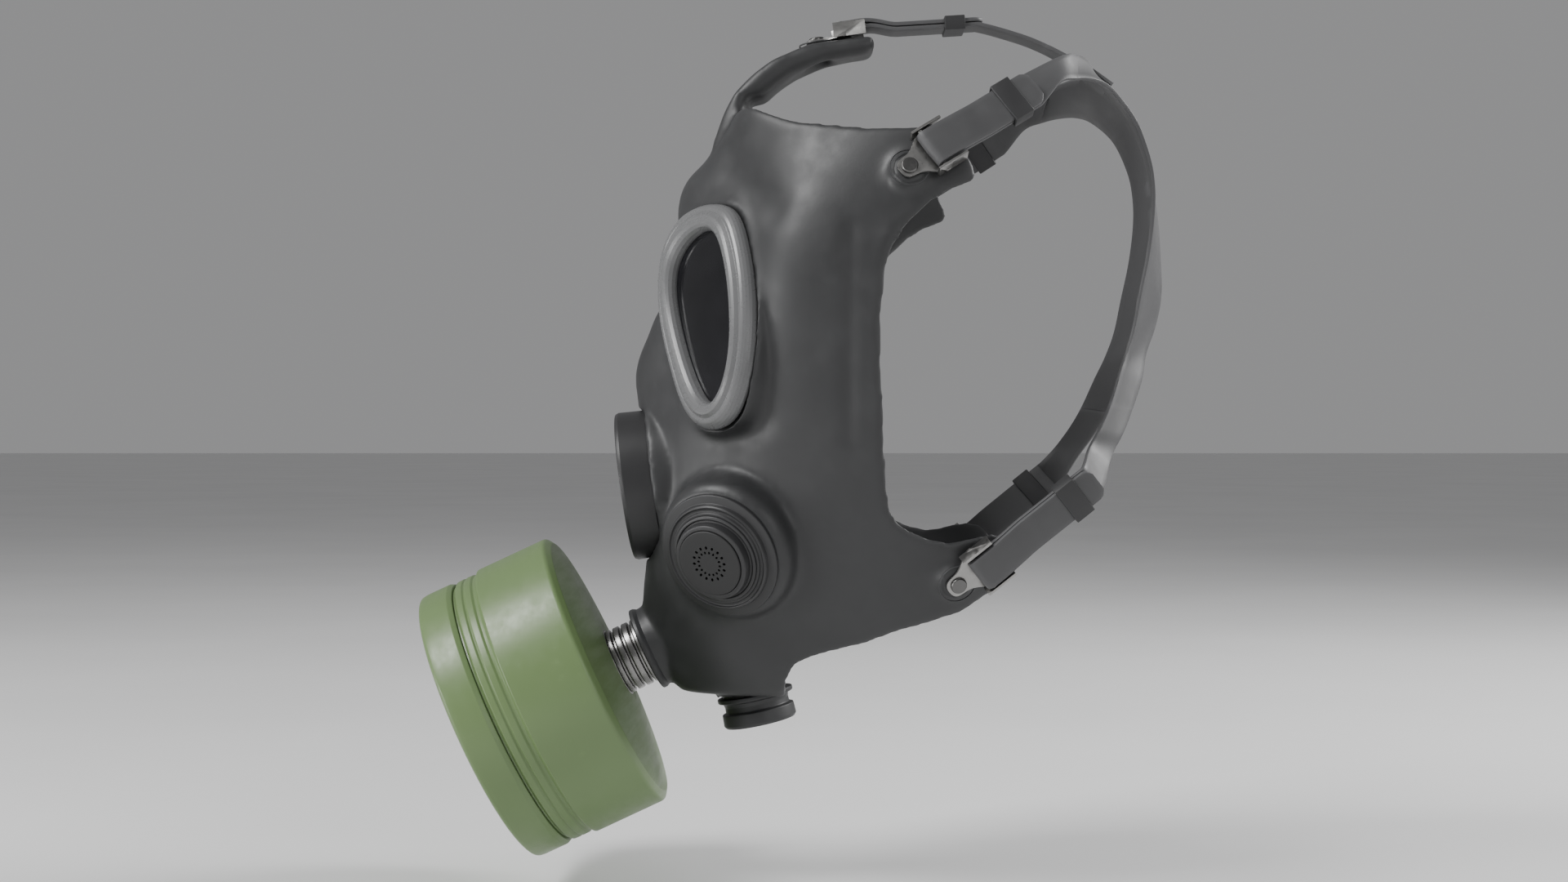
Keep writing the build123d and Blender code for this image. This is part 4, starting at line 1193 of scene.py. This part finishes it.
class RESPIRATOR_OT_filter(bpy.types.Operator):
    """Build the filter and its neck"""
    bl_idname = "respirator.filter"
    bl_label = "Filter"
    bl_options = {"REGISTER", "UNDO"}

    def execute(self, context):
        build_filter(context.scene)
        return {"FINISHED"}


class RESPIRATOR_OT_harness(bpy.types.Operator):
    """Build the head harness"""
    bl_idname = "respirator.harness"
    bl_label = "Head harness"
    bl_options = {"REGISTER", "UNDO"}

    def execute(self, context):
        build_harness(context.scene)
        return {"FINISHED"}


class RESPIRATOR_OT_buckles(bpy.types.Operator):
    """Finish the buckles, keepers and rivets"""
    bl_idname = "respirator.buckles"
    bl_label = "Buckles"
    bl_options = {"REGISTER", "UNDO"}

    def execute(self, context):
        build_buckles(context.scene)
        return {"FINISHED"}


class RESPIRATOR_OT_stage(bpy.types.Operator):
    """Make the floor, lights and camera"""
    bl_idname = "respirator.stage"
    bl_label = "Stage"
    bl_options = {"REGISTER", "UNDO"}

    def execute(self, context):
        build_stage(context.scene)
        return {"FINISHED"}


OPERATORS = [
    RESPIRATOR_OT_materials,
    RESPIRATOR_OT_face,
    RESPIRATOR_OT_lenses,
    RESPIRATOR_OT_front_port,
    RESPIRATOR_OT_cheek_ports,
    RESPIRATOR_OT_inlet,
    RESPIRATOR_OT_outlet,
    RESPIRATOR_OT_nose_cup,
    RESPIRATOR_OT_filter,
    RESPIRATOR_OT_harness,
    RESPIRATOR_OT_buckles,
    RESPIRATOR_OT_stage,
]


class RESPIRATOR_PT_panel(bpy.types.Panel):
    """Lists the respirator's pieces"""
    bl_idname = "RESPIRATOR_PT_panel"
    bl_label = "Respirator"
    bl_space_type = "VIEW_3D"
    bl_region_type = "UI"
    bl_category = "Respirator"

    def draw(self, context):
        for cls in OPERATORS:
            self.layout.operator(cls.bl_idname)
        for group in ("respirator_face", "respirator_filter", "respirator_harness"):
            box = self.layout.box()
            settings = getattr(context.scene, group)
            for key in settings.__annotations__:
                box.prop(settings, key)


CLASSES = [FaceSettings, FilterSettings, HarnessSettings, *OPERATORS, RESPIRATOR_PT_panel]


def register():
    for cls in CLASSES:
        bpy.utils.register_class(cls)
    bpy.types.Scene.respirator_face = PointerProperty(type=FaceSettings)
    bpy.types.Scene.respirator_filter = PointerProperty(type=FilterSettings)
    bpy.types.Scene.respirator_harness = PointerProperty(type=HarnessSettings)


def unregister():
    for group in ("respirator_face", "respirator_filter", "respirator_harness"):
        delattr(bpy.types.Scene, group)
    for cls in reversed(CLASSES):
        bpy.utils.unregister_class(cls)


def main():
    register()
    for cls in OPERATORS:
        getattr(bpy.ops.respirator, cls.bl_idname.split(".")[1])()


if __name__ == "__main__":
    main()
